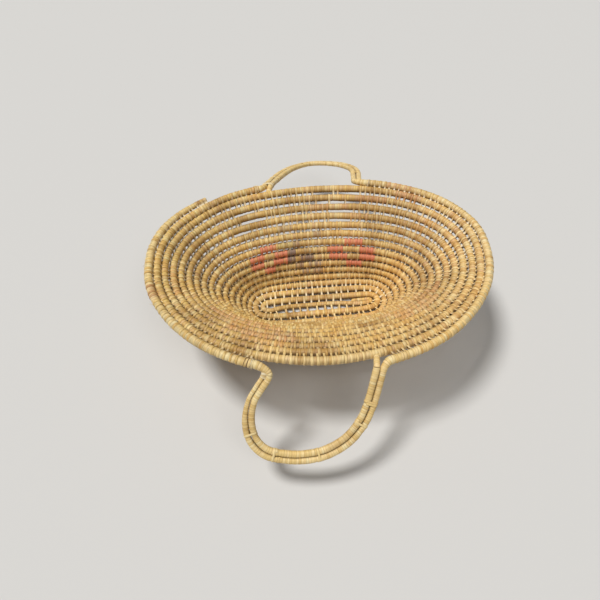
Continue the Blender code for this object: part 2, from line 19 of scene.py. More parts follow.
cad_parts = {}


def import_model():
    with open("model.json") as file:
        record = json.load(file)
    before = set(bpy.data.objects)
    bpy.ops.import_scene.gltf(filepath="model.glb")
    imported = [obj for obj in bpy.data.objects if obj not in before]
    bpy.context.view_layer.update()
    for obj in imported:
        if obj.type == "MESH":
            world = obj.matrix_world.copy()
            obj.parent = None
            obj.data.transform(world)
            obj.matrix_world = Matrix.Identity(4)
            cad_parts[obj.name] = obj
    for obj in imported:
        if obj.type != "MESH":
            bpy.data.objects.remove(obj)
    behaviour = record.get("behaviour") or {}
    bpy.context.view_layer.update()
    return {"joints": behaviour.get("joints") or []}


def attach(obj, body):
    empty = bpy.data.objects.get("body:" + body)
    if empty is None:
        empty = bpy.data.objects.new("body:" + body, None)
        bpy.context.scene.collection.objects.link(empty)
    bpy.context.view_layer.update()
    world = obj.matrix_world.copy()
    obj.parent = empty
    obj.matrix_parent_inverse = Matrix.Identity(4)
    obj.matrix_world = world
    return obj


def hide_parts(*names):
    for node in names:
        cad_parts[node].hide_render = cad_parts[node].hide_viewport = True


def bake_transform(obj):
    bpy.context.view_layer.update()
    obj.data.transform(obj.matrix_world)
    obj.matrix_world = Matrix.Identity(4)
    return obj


LOG = logging.getLogger("basket")
MM = 0.001
Array = np.ndarray
Colour = tuple[float, float, float]
Table = tuple[tuple[float, float], ...]
Item = TypeVar("Item")
# Turn count of a line that is no part of the basket's coil: no dyed patch lies there
OFF_COIL = -5.0


def linear(hex_colour: str) -> Colour:
    """Turn an sRGB hex colour into linear red, green and blue.

    Args:
        hex_colour: six hex digits, such as "CDAA70".

    Returns:
        The three linear values from 0 to 1.
    """
    parts = [int(hex_colour[place:place + 2], 16) / 255 for place in (0, 2, 4)]
    red, green, blue = (part / 12.92 if part <= 0.04045 else ((part + 0.055) / 1.055) ** 2.4
                        for part in parts)
    return red, green, blue


def node(tree: bpy.types.NodeTree, kind: str, settings: Optional[dict[str, object]] = None,
         links: Optional[dict[object, object]] = None) -> bpy.types.Node:
    """Add a node with its settings and links.

    Args:
        tree: the tree of a material or of the world.
        kind: the node's type.
        settings: its attributes by name; for a colour ramp also "interpolation" and "stops",
            pairs of a place and a hex colour.
        links: input names or numbers, each with the socket or plain value that it takes.

    Returns:
        The new node.
    """
    added = tree.nodes.new(kind)
    for key, value in (settings or {}).items():
        if key == "stops":
            marks = added.color_ramp.elements
            while len(marks) < len(value):
                marks.new(1.0)
            for mark, (place, hex_colour) in zip(marks, value):
                mark.position, mark.color = place, (*linear(hex_colour), 1.0)
        elif key == "interpolation":
            added.color_ramp.interpolation = value
        else:
            setattr(added, key, value)
    for key, source in (links or {}).items():
        if isinstance(source, bpy.types.NodeSocket):
            tree.links.new(source, added.inputs[key])
        else:
            added.inputs[key].default_value = source
    return added


def unit(vectors: Array) -> Array:
    """Scale each vector to length one."""
    return vectors / np.linalg.norm(vectors, axis=-1, keepdims=True)


def smooth_step(value: Array) -> Array:
    """Rise from 0 to 1 without corners as the value goes from 0 to 1."""
    held = np.clip(value, 0.0, 1.0)
    return held * held * (3 - 2 * held)


def running_total(rate: Array, step: float) -> Array:
    """Sum a rate over even steps, starting at zero."""
    return np.concatenate([[0.0], np.cumsum((rate[1:] + rate[:-1]) / 2) * step])


def eased(places: Array, table: Table) -> Array:
    """Read a table of places and values, easing from each value to the next.

    Args:
        places: where to read it.
        table: rising places, each with its value.

    Returns:
        The value at each place.
    """
    marks, values = np.array(table).T
    rows = np.arange(len(marks))
    row = np.interp(places, marks, rows)
    return np.interp(np.floor(row) + smooth_step(row - np.floor(row)), rows, values)


def squared(angle: Array, power: float) -> Array:
    """Radius of a squarish round of size one: a power of two is a circle, more is squarer."""
    return (np.abs(np.cos(angle)) ** power + np.abs(np.sin(angle)) ** power) ** (-1 / power)


def smooth_line(points: Array, count: int) -> Array:
    """Run a smooth line through chosen points: cubic pieces with even tangents.

    Args:
        points: the chosen points, one in each row.
        count: how many points to return.

    Returns:
        Points along the line, evenly spread over its pieces.
    """
    padded = np.concatenate([[2 * points[0] - points[1]], points, [2 * points[-1] - points[-2]]])
    places = np.linspace(0, len(points) - 1 - 1e-9, count)
    piece = places.astype(int)
    share = (places - piece)[:, None]
    before, start, end, after = (padded[piece + shift] for shift in range(4))
    return 0.5 * (2 * start + (end - before) * share
                  + (2 * before - 5 * start + 4 * end - after) * share ** 2
                  + (3 * start - before - 3 * end + after) * share ** 3)


class Dye(Enum):
    """The dyes that some wrapping strands were coloured with, as faded as they are now."""

    CORAL = "DE8263"
    PLUM = "665060"
    ROSE = "CC8A68"
    OCHRE = "D08C4A"
    OLIVE = "93905C"
    CREAM = "F4E9CF"
    PALE_STRAW = "F3D89C"
    # Not a dye: the pale outer side at the rim's ends, a painted highlight with some wear
    WORN_AND_LIT_STRAW = "F8E3AC"
    RUST = "A8694C"


class Side(Enum):
    """Which half of a round a place lies on; its value points along Y."""

    BACK = 1
    FRONT = -1


class Leg(Enum):
    """Which leg of a handle; its value points along X."""

    LEFT = -1
    RIGHT = 1

    def of(self, pair: tuple[Item, Item]) -> Item:
        """Take the leg's own one of a left and a right value."""
        return pair[0 if self is Leg.LEFT else 1]


@dataclass(frozen=True)
class DyedPatch:
    """A stretch of one round whose wrapping strands are dyed."""

    round_number: int
    side: Side
    start_x: float
    end_x: float
    dye: Dye
    strength: float

    def holds(self, turn: Array, x: Array) -> Array:
        """Tell which places lie in the patch.

        Args:
            turn: turn counts along the coil.
            x: distance from the basket's middle along its length, in millimetres.

        Returns:
            True where a place is inside.
        """
        at_back = (turn % 1.0) > 0.5
        on_side = at_back if self.side is Side.BACK else ~at_back
        on_round = np.floor(turn).astype(int) == self.round_number
        return on_side & on_round & (x > self.start_x) & (x < self.end_x)


def diamond(round_number: int, middle: float, reach: float,
            strength: float = 0.92) -> tuple[DyedPatch, ...]:
    """Lay out one hollow diamond, four rounds high, of coral stretches on the back wall.

    Its two middle rounds have a stretch at each side, its outer rounds one in the middle.

    Args:
        round_number: the lowest round that it touches.
        middle: its middle along the basket's length, in millimetres.
        reach: half its width, in millimetres.
        strength: amount of dye.

    Returns:
        The dyed stretches.
    """
    def stretch(step: int, start: float, end: float) -> DyedPatch:
        """One coral stretch, step rounds up, between two shares of the reach."""
        return DyedPatch(round_number + step, Side.BACK, middle + start * reach,
                         middle + end * reach, Dye.CORAL, strength)
    return (stretch(0, -0.30, 0.36), stretch(1, -1.00, -0.28), stretch(1, 0.26, 0.98),
            stretch(2, -1.02, -0.30), stretch(2, 0.24, 1.00), stretch(3, -0.46, 0.42))


PATTERN: tuple[DyedPatch, ...] = diamond(5, -76.0, 31.0) + diamond(5, 64.0, 39.0) + (
    DyedPatch(7, Side.BACK, -46, -29, Dye.PLUM, 0.75),
    DyedPatch(6, Side.BACK, -45, -32, Dye.PLUM, 0.7),
    DyedPatch(6, Side.BACK, -24, -2, Dye.PLUM, 0.7),
    DyedPatch(5, Side.BACK, -34, -18, Dye.PLUM, 0.55),
    DyedPatch(5, Side.BACK, -12, 12, Dye.PLUM, 0.6),
    DyedPatch(4, Side.BACK, -20, 14, Dye.PLUM, 0.6),
    DyedPatch(7, Side.BACK, -20, -8, Dye.PLUM, 0.3),
    DyedPatch(8, Side.BACK, -62, -38, Dye.OLIVE, 0.35),
    DyedPatch(8, Side.BACK, -36, -24, Dye.PLUM, 0.5),
    DyedPatch(9, Side.BACK, -2, 10, Dye.PLUM, 0.35),
    DyedPatch(10, Side.BACK, -60, -36, Dye.PLUM, 0.35),
    DyedPatch(12, Side.BACK, -8, 60, Dye.ROSE, 0.35),
    DyedPatch(11, Side.BACK, 52, 92, Dye.ROSE, 0.3),
    DyedPatch(13, Side.BACK, 70, 120, Dye.ROSE, 0.4),
    DyedPatch(14, Side.BACK, 130, 170, Dye.ROSE, 0.5),
    DyedPatch(15, Side.BACK, 120, 165, Dye.ROSE, 0.45),
    DyedPatch(9, Side.FRONT, -150, -72, Dye.ROSE, 0.35),
    DyedPatch(10, Side.FRONT, -165, -60, Dye.ROSE, 0.4),
    DyedPatch(11, Side.FRONT, -150, -45, Dye.RUST, 0.35),
    DyedPatch(12, Side.FRONT, -135, -42, Dye.ROSE, 0.45),
    DyedPatch(13, Side.FRONT, -118, -60, Dye.OCHRE, 0.4),
    DyedPatch(8, Side.FRONT, 85, 150, Dye.ROSE, 0.2),
    DyedPatch(9, Side.FRONT, 80, 165, Dye.ROSE, 0.3),
    DyedPatch(10, Side.FRONT, 95, 180, Dye.ROSE, 0.35),
    DyedPatch(11, Side.FRONT, 105, 170, Dye.ROSE, 0.35),
    DyedPatch(16, Side.FRONT, -241, -229, Dye.RUST, 0.55),
    DyedPatch(12, Side.BACK, 168, 190, Dye.OCHRE, 0.35),
    DyedPatch(11, Side.BACK, 158, 176, Dye.OCHRE, 0.35),
    DyedPatch(13, Side.FRONT, -225, -203, Dye.OCHRE, 0.4),
    DyedPatch(15, Side.FRONT, -92, 62, Dye.PALE_STRAW, 0.6),
    DyedPatch(15, Side.BACK, -72, 72, Dye.PALE_STRAW, 0.6),
)


def strand_dyes(turn: Array, x: Array) -> Array:
    """Colour and amount of dye for places on the coil.

    Args:
        turn: turn counts along the coil.
        x: distance from the basket's middle along its length, in metres.

    Returns:
        Linear red, green, blue and the amount of dye, one row for each place.
    """
    dyes = np.zeros((len(turn), 4))
    for patch in PATTERN:
        inside = patch.holds(turn, x / MM)
        dyes[inside] = (*linear(patch.dye.value), patch.strength)
    return dyes


@dataclass
class CoilPath:
    """A line with two directions square to it, a radius, and a turn count, all along its run."""

    centre: Array
    side: Array
    over: Array
    radius: Array
    turn: Array
    run: Array = field(init=False)

    def __post_init__(self) -> None:
        """Measure the distance run along the line."""
        steps = np.linalg.norm(np.diff(self.centre, axis=0), axis=1)
        self.run = np.concatenate([[0.0], np.cumsum(steps)])

    def at(self, run: Array) -> "CoilPath":
        """Read the path at given distances, by straight lines between its samples.

        Args:
            run: distances along the path.

        Returns:
            The path with one sample at each distance.
        """
        def read(values: Array) -> Array:
            """One quantity at the asked distances."""
            if values.ndim == 1:
                return np.interp(run, self.run, values)
            return np.stack([np.interp(run, self.run, column) for column in values.T], axis=-1)
        found = CoilPath(read(self.centre), unit(read(self.side)), unit(read(self.over)),
                         read(self.radius), read(self.turn))
        found.run = np.asarray(run)
        return found


@dataclass
class CoilRoute:
    """The basket's one long coil, from the tip in the middle of the base to the rim.

    Each round is an oval about a straight line whose ends are joined by curves that are tight
    at the base and full at the rim.
    """

    coil_diameter: float = 10.6 * MM
    start_diameter: float = 6.2 * MM
    start_half_length: float = 87.6 * MM
    start_offset: float = 1.9 * MM
    start_gap: float = 1.0 * MM
    start_turn: float = -0.2206
    first_back_turn: float = 0.75
    base_sides: int = 8
    base_corner: float = 0.22
    wall_corner: float = 0.85
    corner_turns: tuple[float, float] = (1.5, 8.0)
    base_askew: float = math.radians(2.2)
    base_shift: tuple[float, float] = (2.6 * MM, 5.6 * MM)
    rim_shift: tuple[float, float] = (0.9 * MM, -10.3 * MM)
    rim_lean: float = 4.6 * MM
    rim_skew: float = 2.5 * MM
    rim_turn: float = 16.0
    wander: float = 0.38 * MM
    wander_waves: tuple[tuple[float, float, float, float], ...] = (
        (41.3, 0.0, 97.7, 1.0), (53.9, 2.0, 118.3, 0.0))
    quick_wave_share: float = 0.6
    search: float = 0.15
    search_samples: int = 401
    weave: tuple[tuple[float, float, float, float], ...] = (
        (0.75, 4.9 * MM, 0.0, 0.79), (1.75, 5.4 * MM, 2.0, 0.74), (3.00, 2.8 * MM, 51.0, 0.65),
        (4.50, 2.4 * MM, 62.0, 0.66), (7.50, 2.2 * MM, 55.0, 0.74), (10.50, 4.8 * MM, 43.0, 0.59),
        (14.00, 5.7 * MM, 32.0, 0.67), (15.00, 4.7 * MM, 28.3, 0.64),
        (16.70, 3.0 * MM, 22.0, 0.74))
    rim_reach: Table = (
        (0.00, -2.6 * MM), (0.07, 0.5 * MM), (0.14, 2.2 * MM), (0.25, 0.0), (0.37, 2.0 * MM),
        (0.44, 0.0), (0.51, -3.4 * MM), (0.60, -4.4 * MM), (0.67, -0.5 * MM), (0.80, 0.0),
        (0.94, 0.5 * MM), (1.00, -2.6 * MM))
    reach_turns: tuple[float, float] = (12.0, 15.5)
    tight_sewing: Table = (
        (0.205, 0.0), (0.247, 5.4 * MM), (0.265, 5.4 * MM), (0.325, 0.0),
        (13.08, 0.0), (13.19, 1.2 * MM), (13.31, 1.2 * MM), (13.42, 0.0),
        (14.08, 0.0), (14.19, 3.0 * MM), (14.31, 3.0 * MM), (14.42, 0.0),
        (15.08, 0.0), (15.19, 2.7 * MM), (15.31, 2.7 * MM), (15.42, 0.0),
        (15.54, 0.0), (15.65, 2.2 * MM), (15.85, 2.2 * MM), (15.97, 0.0),
        (16.55, 0.0), (16.63, 2.4 * MM))
    rim_end_turn: float = 16.63
    rim_end_diameter: float = 6.8 * MM
    thinning_turn: float = 16.56
    rounds: tuple[Array, ...] = field(init=False)

    def __post_init__(self) -> None:
        """Lay the rounds: half length, half width, rise and slope against the turn count."""
        weave = np.array(self.weave).T
        turn = np.linspace(self.first_back_turn, weave[0][-1] + 1.2, 1500)
        pitch = self.coil_diameter + np.interp(turn, weave[0], weave[1])
        slope = np.radians(np.interp(turn, weave[0], weave[2]))
        share = np.interp(turn, weave[0], weave[3])
        step = turn[1] - turn[0]
        thin = self.start_diameter / 2
        growth = pitch[0] * share[0]
        centre_row = thin + self.radius(0.25) + self.start_gap - self.start_offset
        back_row = self.start_offset + thin + self.coil_diameter / 2 + self.start_gap
        half_width = back_row + running_total(pitch * np.cos(slope), step)
        half_length = (self.start_half_length + self.first_back_turn * growth
                       + running_total(pitch * share, step))
        rise = running_total(pitch * np.sin(slope), step)
        first_lengths = [self.start_half_length, self.start_half_length + growth / 4]
        self.rounds = (
            np.concatenate([[-0.25, 0.25], turn]),
            np.concatenate([first_lengths, half_length]),
            np.concatenate([[self.start_offset, centre_row], half_width]),
            np.concatenate([[0.0, 0.0], rise]),
            np.concatenate([[0.0, 0.0], slope]))

    def radius(self, turn: Array) -> Array:
        """Half the coil's thickness: it swells from the thin tip to full size, and ends thin."""
        places = [-0.25, self.first_back_turn, self.thinning_turn, self.rim_end_turn]
        diameters = np.array([self.start_diameter, self.coil_diameter, self.coil_diameter,
                              self.rim_end_diameter])
        return np.interp(turn, places, diameters / 2)

    def point(self, turn: Array) -> Array:
        """Middle of the coil, in the drawing's own place, at each turn count."""
        turn = np.asarray(turn, dtype=float)
        half_length, half_width, rise = (np.interp(turn, self.rounds[0], self.rounds[row])
                                         for row in (1, 2, 3))
        angle = -2 * np.pi * turn
        cos, sin = np.cos(angle), np.sin(angle)
        blend = smooth_step((turn - self.corner_turns[0])
                            / (self.corner_turns[1] - self.corner_turns[0]))
        corner = self.base_corner + (self.wall_corner - self.base_corner) * blend
        along = cos / np.sqrt(cos * cos + corner * corner * sin * sin)
        up = np.clip((turn - 1) / (self.rim_turn - 1), 0, 1.1)
        bulge = up * up * (self.rim_lean * np.sin(3 * angle) + self.rim_skew * np.sin(2 * angle))
        grown = np.clip((turn - self.reach_turns[0])
                        / (self.reach_turns[1] - self.reach_turns[0]), 0, 1)
        bulge = bulge + grown * eased(turn % 1, self.rim_reach)
        slope = np.interp(turn, self.rounds[0], self.rounds[4])
        drawn_in = eased(turn, self.tight_sewing)
        bulge = bulge - drawn_in * np.cos(slope)
        rise = rise - drawn_in * np.sin(slope)
        x = (half_length - half_width) * along + (half_width + bulge) * cos
        y = (half_width + bulge) * sin
        askew = self.base_askew * (1 - up)
        shift_x = self.base_shift[0] + (self.rim_shift[0] - self.base_shift[0]) * up
        shift_y = self.base_shift[1] + (self.rim_shift[1] - self.base_shift[1]) * up
        return np.stack([
            x * np.cos(askew) - y * np.sin(askew) + shift_x,
            x * np.sin(askew) + y * np.cos(askew) + shift_y,
            self.radius(turn) * math.cos(math.pi / self.base_sides) + rise], axis=-1)

    def path(self, turn: Array, move: Array) -> CoilPath:
        """The coil at given turn counts, with the small wander of hand work.

        The side direction points to where the next round lies. The wander adds a slow and a
        quick wave sideways and two others upwards, each with its turns a round and its start.

        Args:
            turn: turn counts.
            move: the step from the drawing's own place to the world's.

        Returns:
            The path in the world.
        """
        turn = np.asarray(turn, dtype=float)
        step = 1e-4
        along = unit(self.point(turn + step) - self.point(turn - step))
        outward = np.cross([0.0, 0.0, 1.0], along)
        outward[..., 2] = 0
        slope = np.interp(turn, self.rounds[0], self.rounds[4])[..., None]
        side = np.cos(slope) * unit(outward) + np.sin(slope) * np.array([0.0, 0.0, 1.0])
        side = unit(side - along * np.sum(side * along, axis=-1, keepdims=True))
        over = np.cross(side, along)
        free = self.wander * smooth_step((turn - 0.6) / 1.5)
        part = self.quick_wave_share
        sideways, upward = (
            free * (np.sin(turn * slow + start) + part * np.sin(turn * quick + shift)) / (1 + part)
            for slow, start, quick, shift in self.wander_waves)
        settled = smooth_step((turn - 2.4) / 1.0)
        centre = (self.point(turn) + move + side * sideways[:, None]
                  + over * (upward * settled)[:, None])
        return CoilPath(centre, side, over, self.radius(turn), turn)

    def shifted(self, turn: float, distance: float) -> float:
        """Turn count at a distance along the coil from another."""
        step = 1e-3
        ahead, behind = self.point(np.array([turn + step, turn - step]))
        return turn + distance * 2 * step / float(np.linalg.norm(ahead - behind))

    def beside(self, turn: Array) -> Array:
        """Turn counts, on the round before, of the places nearest to the given ones."""
        tries = (turn[:, None] - 1
                 + np.linspace(-self.search, self.search, self.search_samples)[None, :])
        gaps = np.linalg.norm(self.point(tries.ravel()).reshape(*tries.shape, 3)
                              - self.point(turn)[:, None], axis=2)
        return tries[np.arange(len(turn)), gaps.argmin(axis=1)]

    def turn_at_x(self, x: float, first: float, last: float) -> float:
        """Turn count between two others at which the coil passes an X of the drawing."""
        turns = np.linspace(first, last, 4001)
        passed = self.point(turns)[:, 0]
        order = np.argsort(passed)
        return float(np.interp(x, passed[order], turns[order]))


@dataclass
class Surface:
    """Closed tubes as plain arrays, ready to become one mesh.

    The grid's axes are the tube, its rings along the line, the corners round each ring, and
    X, Y, Z. Each ring has a count u of strands passed, and each corner a dye and a share of the
    painted shade, with some dust, that darkens the creases between coils.
    """

    grid: Array
    count: Array
    dye: Array
    crease: Optional[Array] = None

    def build(self, name: str, material: bpy.types.Material) -> bpy.types.Object:
        """Make the mesh and its object.

        Neighbouring rings are joined by quads and each end is closed by one face. All faces
        are turned over if the volume that they enclose comes out negative.

        Args:
            name: the piece's name.
            material: its finish.

        Returns:
            The new object, at the origin.
        """
        tubes, rings, sides = self.grid.shape[:3]
        corners = self.grid.reshape(-1, 3)
        index = np.arange(tubes * rings * sides).reshape(tubes, rings, sides)
        after = np.roll(index, -1, axis=2)
        quads = np.stack([index[:, :-1], after[:, :-1], after[:, 1:], index[:, 1:]], axis=-1)
        start, end = self.count[:, :-1, None], self.count[:, 1:, None]
        low = np.arange(sides) / sides
        high = low + 1 / sides
        quad_uv = np.stack([np.stack(np.broadcast_arrays(*pair), axis=-1) for pair in (
            (start, low), (start, high), (end, high), (end, low))], axis=-2)
        caps = np.concatenate([index[:, 0, ::-1], index[:, -1]])
        at_ends = np.concatenate([self.count[:, 0], self.count[:, -1]])[:, None]
        cap_uv = np.stack(np.broadcast_arrays(at_ends, low), axis=-1)
        quads, quad_uv = quads.reshape(-1, 4), quad_uv.reshape(-1, 4, 2)
        first, second, third, fourth = (corners[quads[:, place]] - corners.mean(axis=0)
                                        for place in range(4))
        if np.sum(first * (np.cross(second, third) + np.cross(third, fourth))) < 0:
            quads, quad_uv = quads[:, ::-1], quad_uv[:, ::-1]
            caps, cap_uv = caps[:, ::-1], cap_uv[:, ::-1]
        mesh = bpy.data.meshes.new(name)
        mesh.from_pydata(corners, [], quads.tolist() + caps.tolist())
        mesh.uv_layers.new(name="strand").data.foreach_set(
            "uv", np.concatenate([quad_uv.ravel(), cap_uv.ravel()]).astype(np.float32))
        tint = mesh.attributes.new("dye", "FLOAT_COLOR", "POINT")
        tint.data.foreach_set("color", self.dye.reshape(-1).astype(np.float32))
        # Painted shade, with some dust, as a share at each corner
        crease = np.zeros(len(corners)) if self.crease is None else self.crease.ravel()
        dust_and_shade_layer = mesh.attributes.new("crease", "FLOAT", "POINT")
        dust_and_shade_layer.data.foreach_set("value", crease.astype(np.float32))
        mesh.polygons.foreach_set("use_smooth", np.ones(len(mesh.polygons), dtype=bool))
        mesh.materials.append(material)
        mesh.update()
        piece = bpy.data.objects.new(name, mesh)
        bpy.context.collection.objects.link(piece)
        LOG.info("built %s", name)
        return piece


@dataclass(frozen=True)
class Wrapping:
    """Straw strands wound side by side round a bundle of grass.

    The shares place the rings within a strand. Each swell is a share of the radius and the
    length over which its wave turns by one radian.
    """

    strand_width: float = 4.0 * MM
    width_spread: float = 0.8 * MM
    groove: float = 0.22 * MM
    groove_shares: tuple[float, float] = (0.2, 1.4)
    parted_groove: float = 2.0
    parted_above: float = 0.94
    crown: float = 0.12 * MM
    loose: float = 0.13 * MM
    slow_swell: tuple[float, float] = (0.022, 23 * MM)
    quick_swell: tuple[float, float] = (0.016, 9 * MM)
    slant: float = 0.7 * MM
    slant_angle: float = 1.0
    pinch: float = 0.45 * MM
    pinch_reach: float = 1.9 * MM
    fullness: float = 0.35 * MM
    squareness: float = 2.0
    uneven: float = 0.007
    ragged: float = 1.6 * MM
    sides: int = 14
    shares: tuple[float, ...] = (0.0, 0.12, 0.5, 0.88)
    round_end_limit: float = 0.97
    # Where the painted highlight, with some wear, lies round the coil and along the basket
    wear_and_highlight_angle: float = 0.35
    wear_and_highlight_edge: float = 1.6
    wear_and_highlight_from: float = 120 * MM
    wear_and_highlight_over: float = 80 * MM
    # Where the painted shade, with some dust, starts on a coil's flank and how far it grows
    dust_and_shade_from: float = 0.68
    dust_and_shade_over: float = 0.3

    def surface(self, path: CoilPath, seed: int, tied_at: Array = np.zeros(0),
                wear_and_highlight: float = 0.0, rounded: tuple[float, float] = (0.0, 0.0),
                dust_and_shade_sides: tuple[float, float] = (1.0, 1.0)) -> Surface:
        """Wind the strands along a path.

        The radius is the bundle's, lower in the groove between two strands, a little different
        from strand to strand, and drawn in where a stitch ties the coil. Rings are tilted, so
        the strands lie slantwise. A rounded end follows a circle's arc down to a small face.

        Args:
            path: the coil's middle line.
            seed: number for this coil's chance differences.
            tied_at: distances along the path where a stitch draws the coil in.
            wear_and_highlight: how far the outer side is made pale at the basket's two ends, a
                painted highlight with some wear.
            rounded: length over which the first and the last end are rounded.
            dust_and_shade_sides: painted shade, with some dust, towards the next coil and the coil
                before.

        Returns:
            The wrapped coil as one closed tube.
        """
        chance = np.random.default_rng(seed)
        length = path.run[-1]
        strands = max(2, round(length / self.strand_width))
        widths = self.strand_width + chance.uniform(-1, 1, strands) * self.width_spread
        edges = np.concatenate([[0.0], np.cumsum(widths)]) * length / widths.sum()
        shares = np.array(self.shares)
        places = np.append((edges[:-1, None] + np.diff(edges)[:, None] * shares).ravel(), length)
        count = np.append((np.arange(strands)[:, None] + shares).ravel(), strands)
        depth = self.groove * chance.uniform(*self.groove_shares, strands + 1)
        parted = chance.uniform(0, 1, strands + 1) > self.parted_above
        depth += self.groove * self.parted_groove * parted
        bulk = chance.uniform(-1, 1, strands) * self.loose
        height = np.stack([-depth[:-1], bulk, bulk + self.crown, bulk], axis=1)
        height = np.append(height.ravel(), -depth[-1])
        line = path.at(places)
        (slow, slow_run), (quick, quick_run) = self.slow_swell, self.quick_swell
        swell = 1 + slow * np.sin(places / slow_run + seed) + quick * np.sin(places / quick_run)
        radius = line.radius * swell + height + self.fullness
        if len(tied_at):
            near = np.abs(places[:, None] - tied_at[None, :]).min(axis=1)
            radius -= self.pinch * np.exp(-(near / self.pinch_reach) ** 2)
        for reach, away in zip(rounded, (places, length - places)):
            if reach:
                radius *= np.sqrt(1 - np.clip(1 - away / reach, 0, self.round_end_limit) ** 2)
        angle = (np.arange(self.sides) + 0.5) * 2 * np.pi / self.sides
        along = np.cross(line.over, line.side)
        inner = np.ones(len(places))
        inner[[0, -1]] = 0
        tilt = self.slant * np.cos(angle - self.slant_angle)[None, :] * inner[:, None]
        shape = squared(angle, self.squareness) + chance.normal(
            0, self.uneven, (len(places), self.sides))
        ring = (np.cos(angle)[None, :, None] * line.side[:, None, :]
                + np.sin(angle)[None, :, None] * line.over[:, None, :])
        grid = (line.centre[:, None, :] + along[:, None, :] * tilt[:, :, None]
                + ring * (radius[:, None] * shape)[:, :, None])
        strand = np.minimum(np.floor(count).astype(int), strands - 1)
        middles = path.at((edges[:-1] + edges[1:]) / 2)
        ragged = chance.normal(0, self.ragged, strands)
        dye = strand_dyes(middles.turn, middles.centre[:, 0] + ragged)
        dye[:, 3] *= chance.uniform(0, 1, strands) ** (2 * (1 - dye[:, 3]))
        dye = np.repeat(dye[strand][:, None, :], self.sides, axis=1)
        # Paler outer side at the basket's two ends: painted highlight of light from the sides,
        # with some wear
        if wear_and_highlight:
            outer = smooth_step(np.cos(angle - self.wear_and_highlight_angle) * self.wear_and_highlight_edge)[None, :]
            far_out = (np.abs(line.centre[:, :1]) - self.wear_and_highlight_from) / self.wear_and_highlight_over
            wear_and_highlight_share = wear_and_highlight * outer * smooth_step(far_out)
            pale = np.array(linear(Dye.WORN_AND_LIT_STRAW.value))
            dye[..., :3] += (pale - dye[..., :3]) * wear_and_highlight_share[..., None]
            dye[..., 3] = np.maximum(dye[..., 3], wear_and_highlight_share)
        # Painted shade, with some dust, darkens the flanks that face a neighbouring coil
        flank = np.cos(angle)
        crease = (smooth_step((np.abs(flank) - self.dust_and_shade_from) / self.dust_and_shade_over)
                  * np.where(flank > 0, dust_and_shade_sides[0], dust_and_shade_sides[1]))
        return Surface(grid[None], count[None], dye[None],
                       np.tile(crease, (len(places), 1))[None])


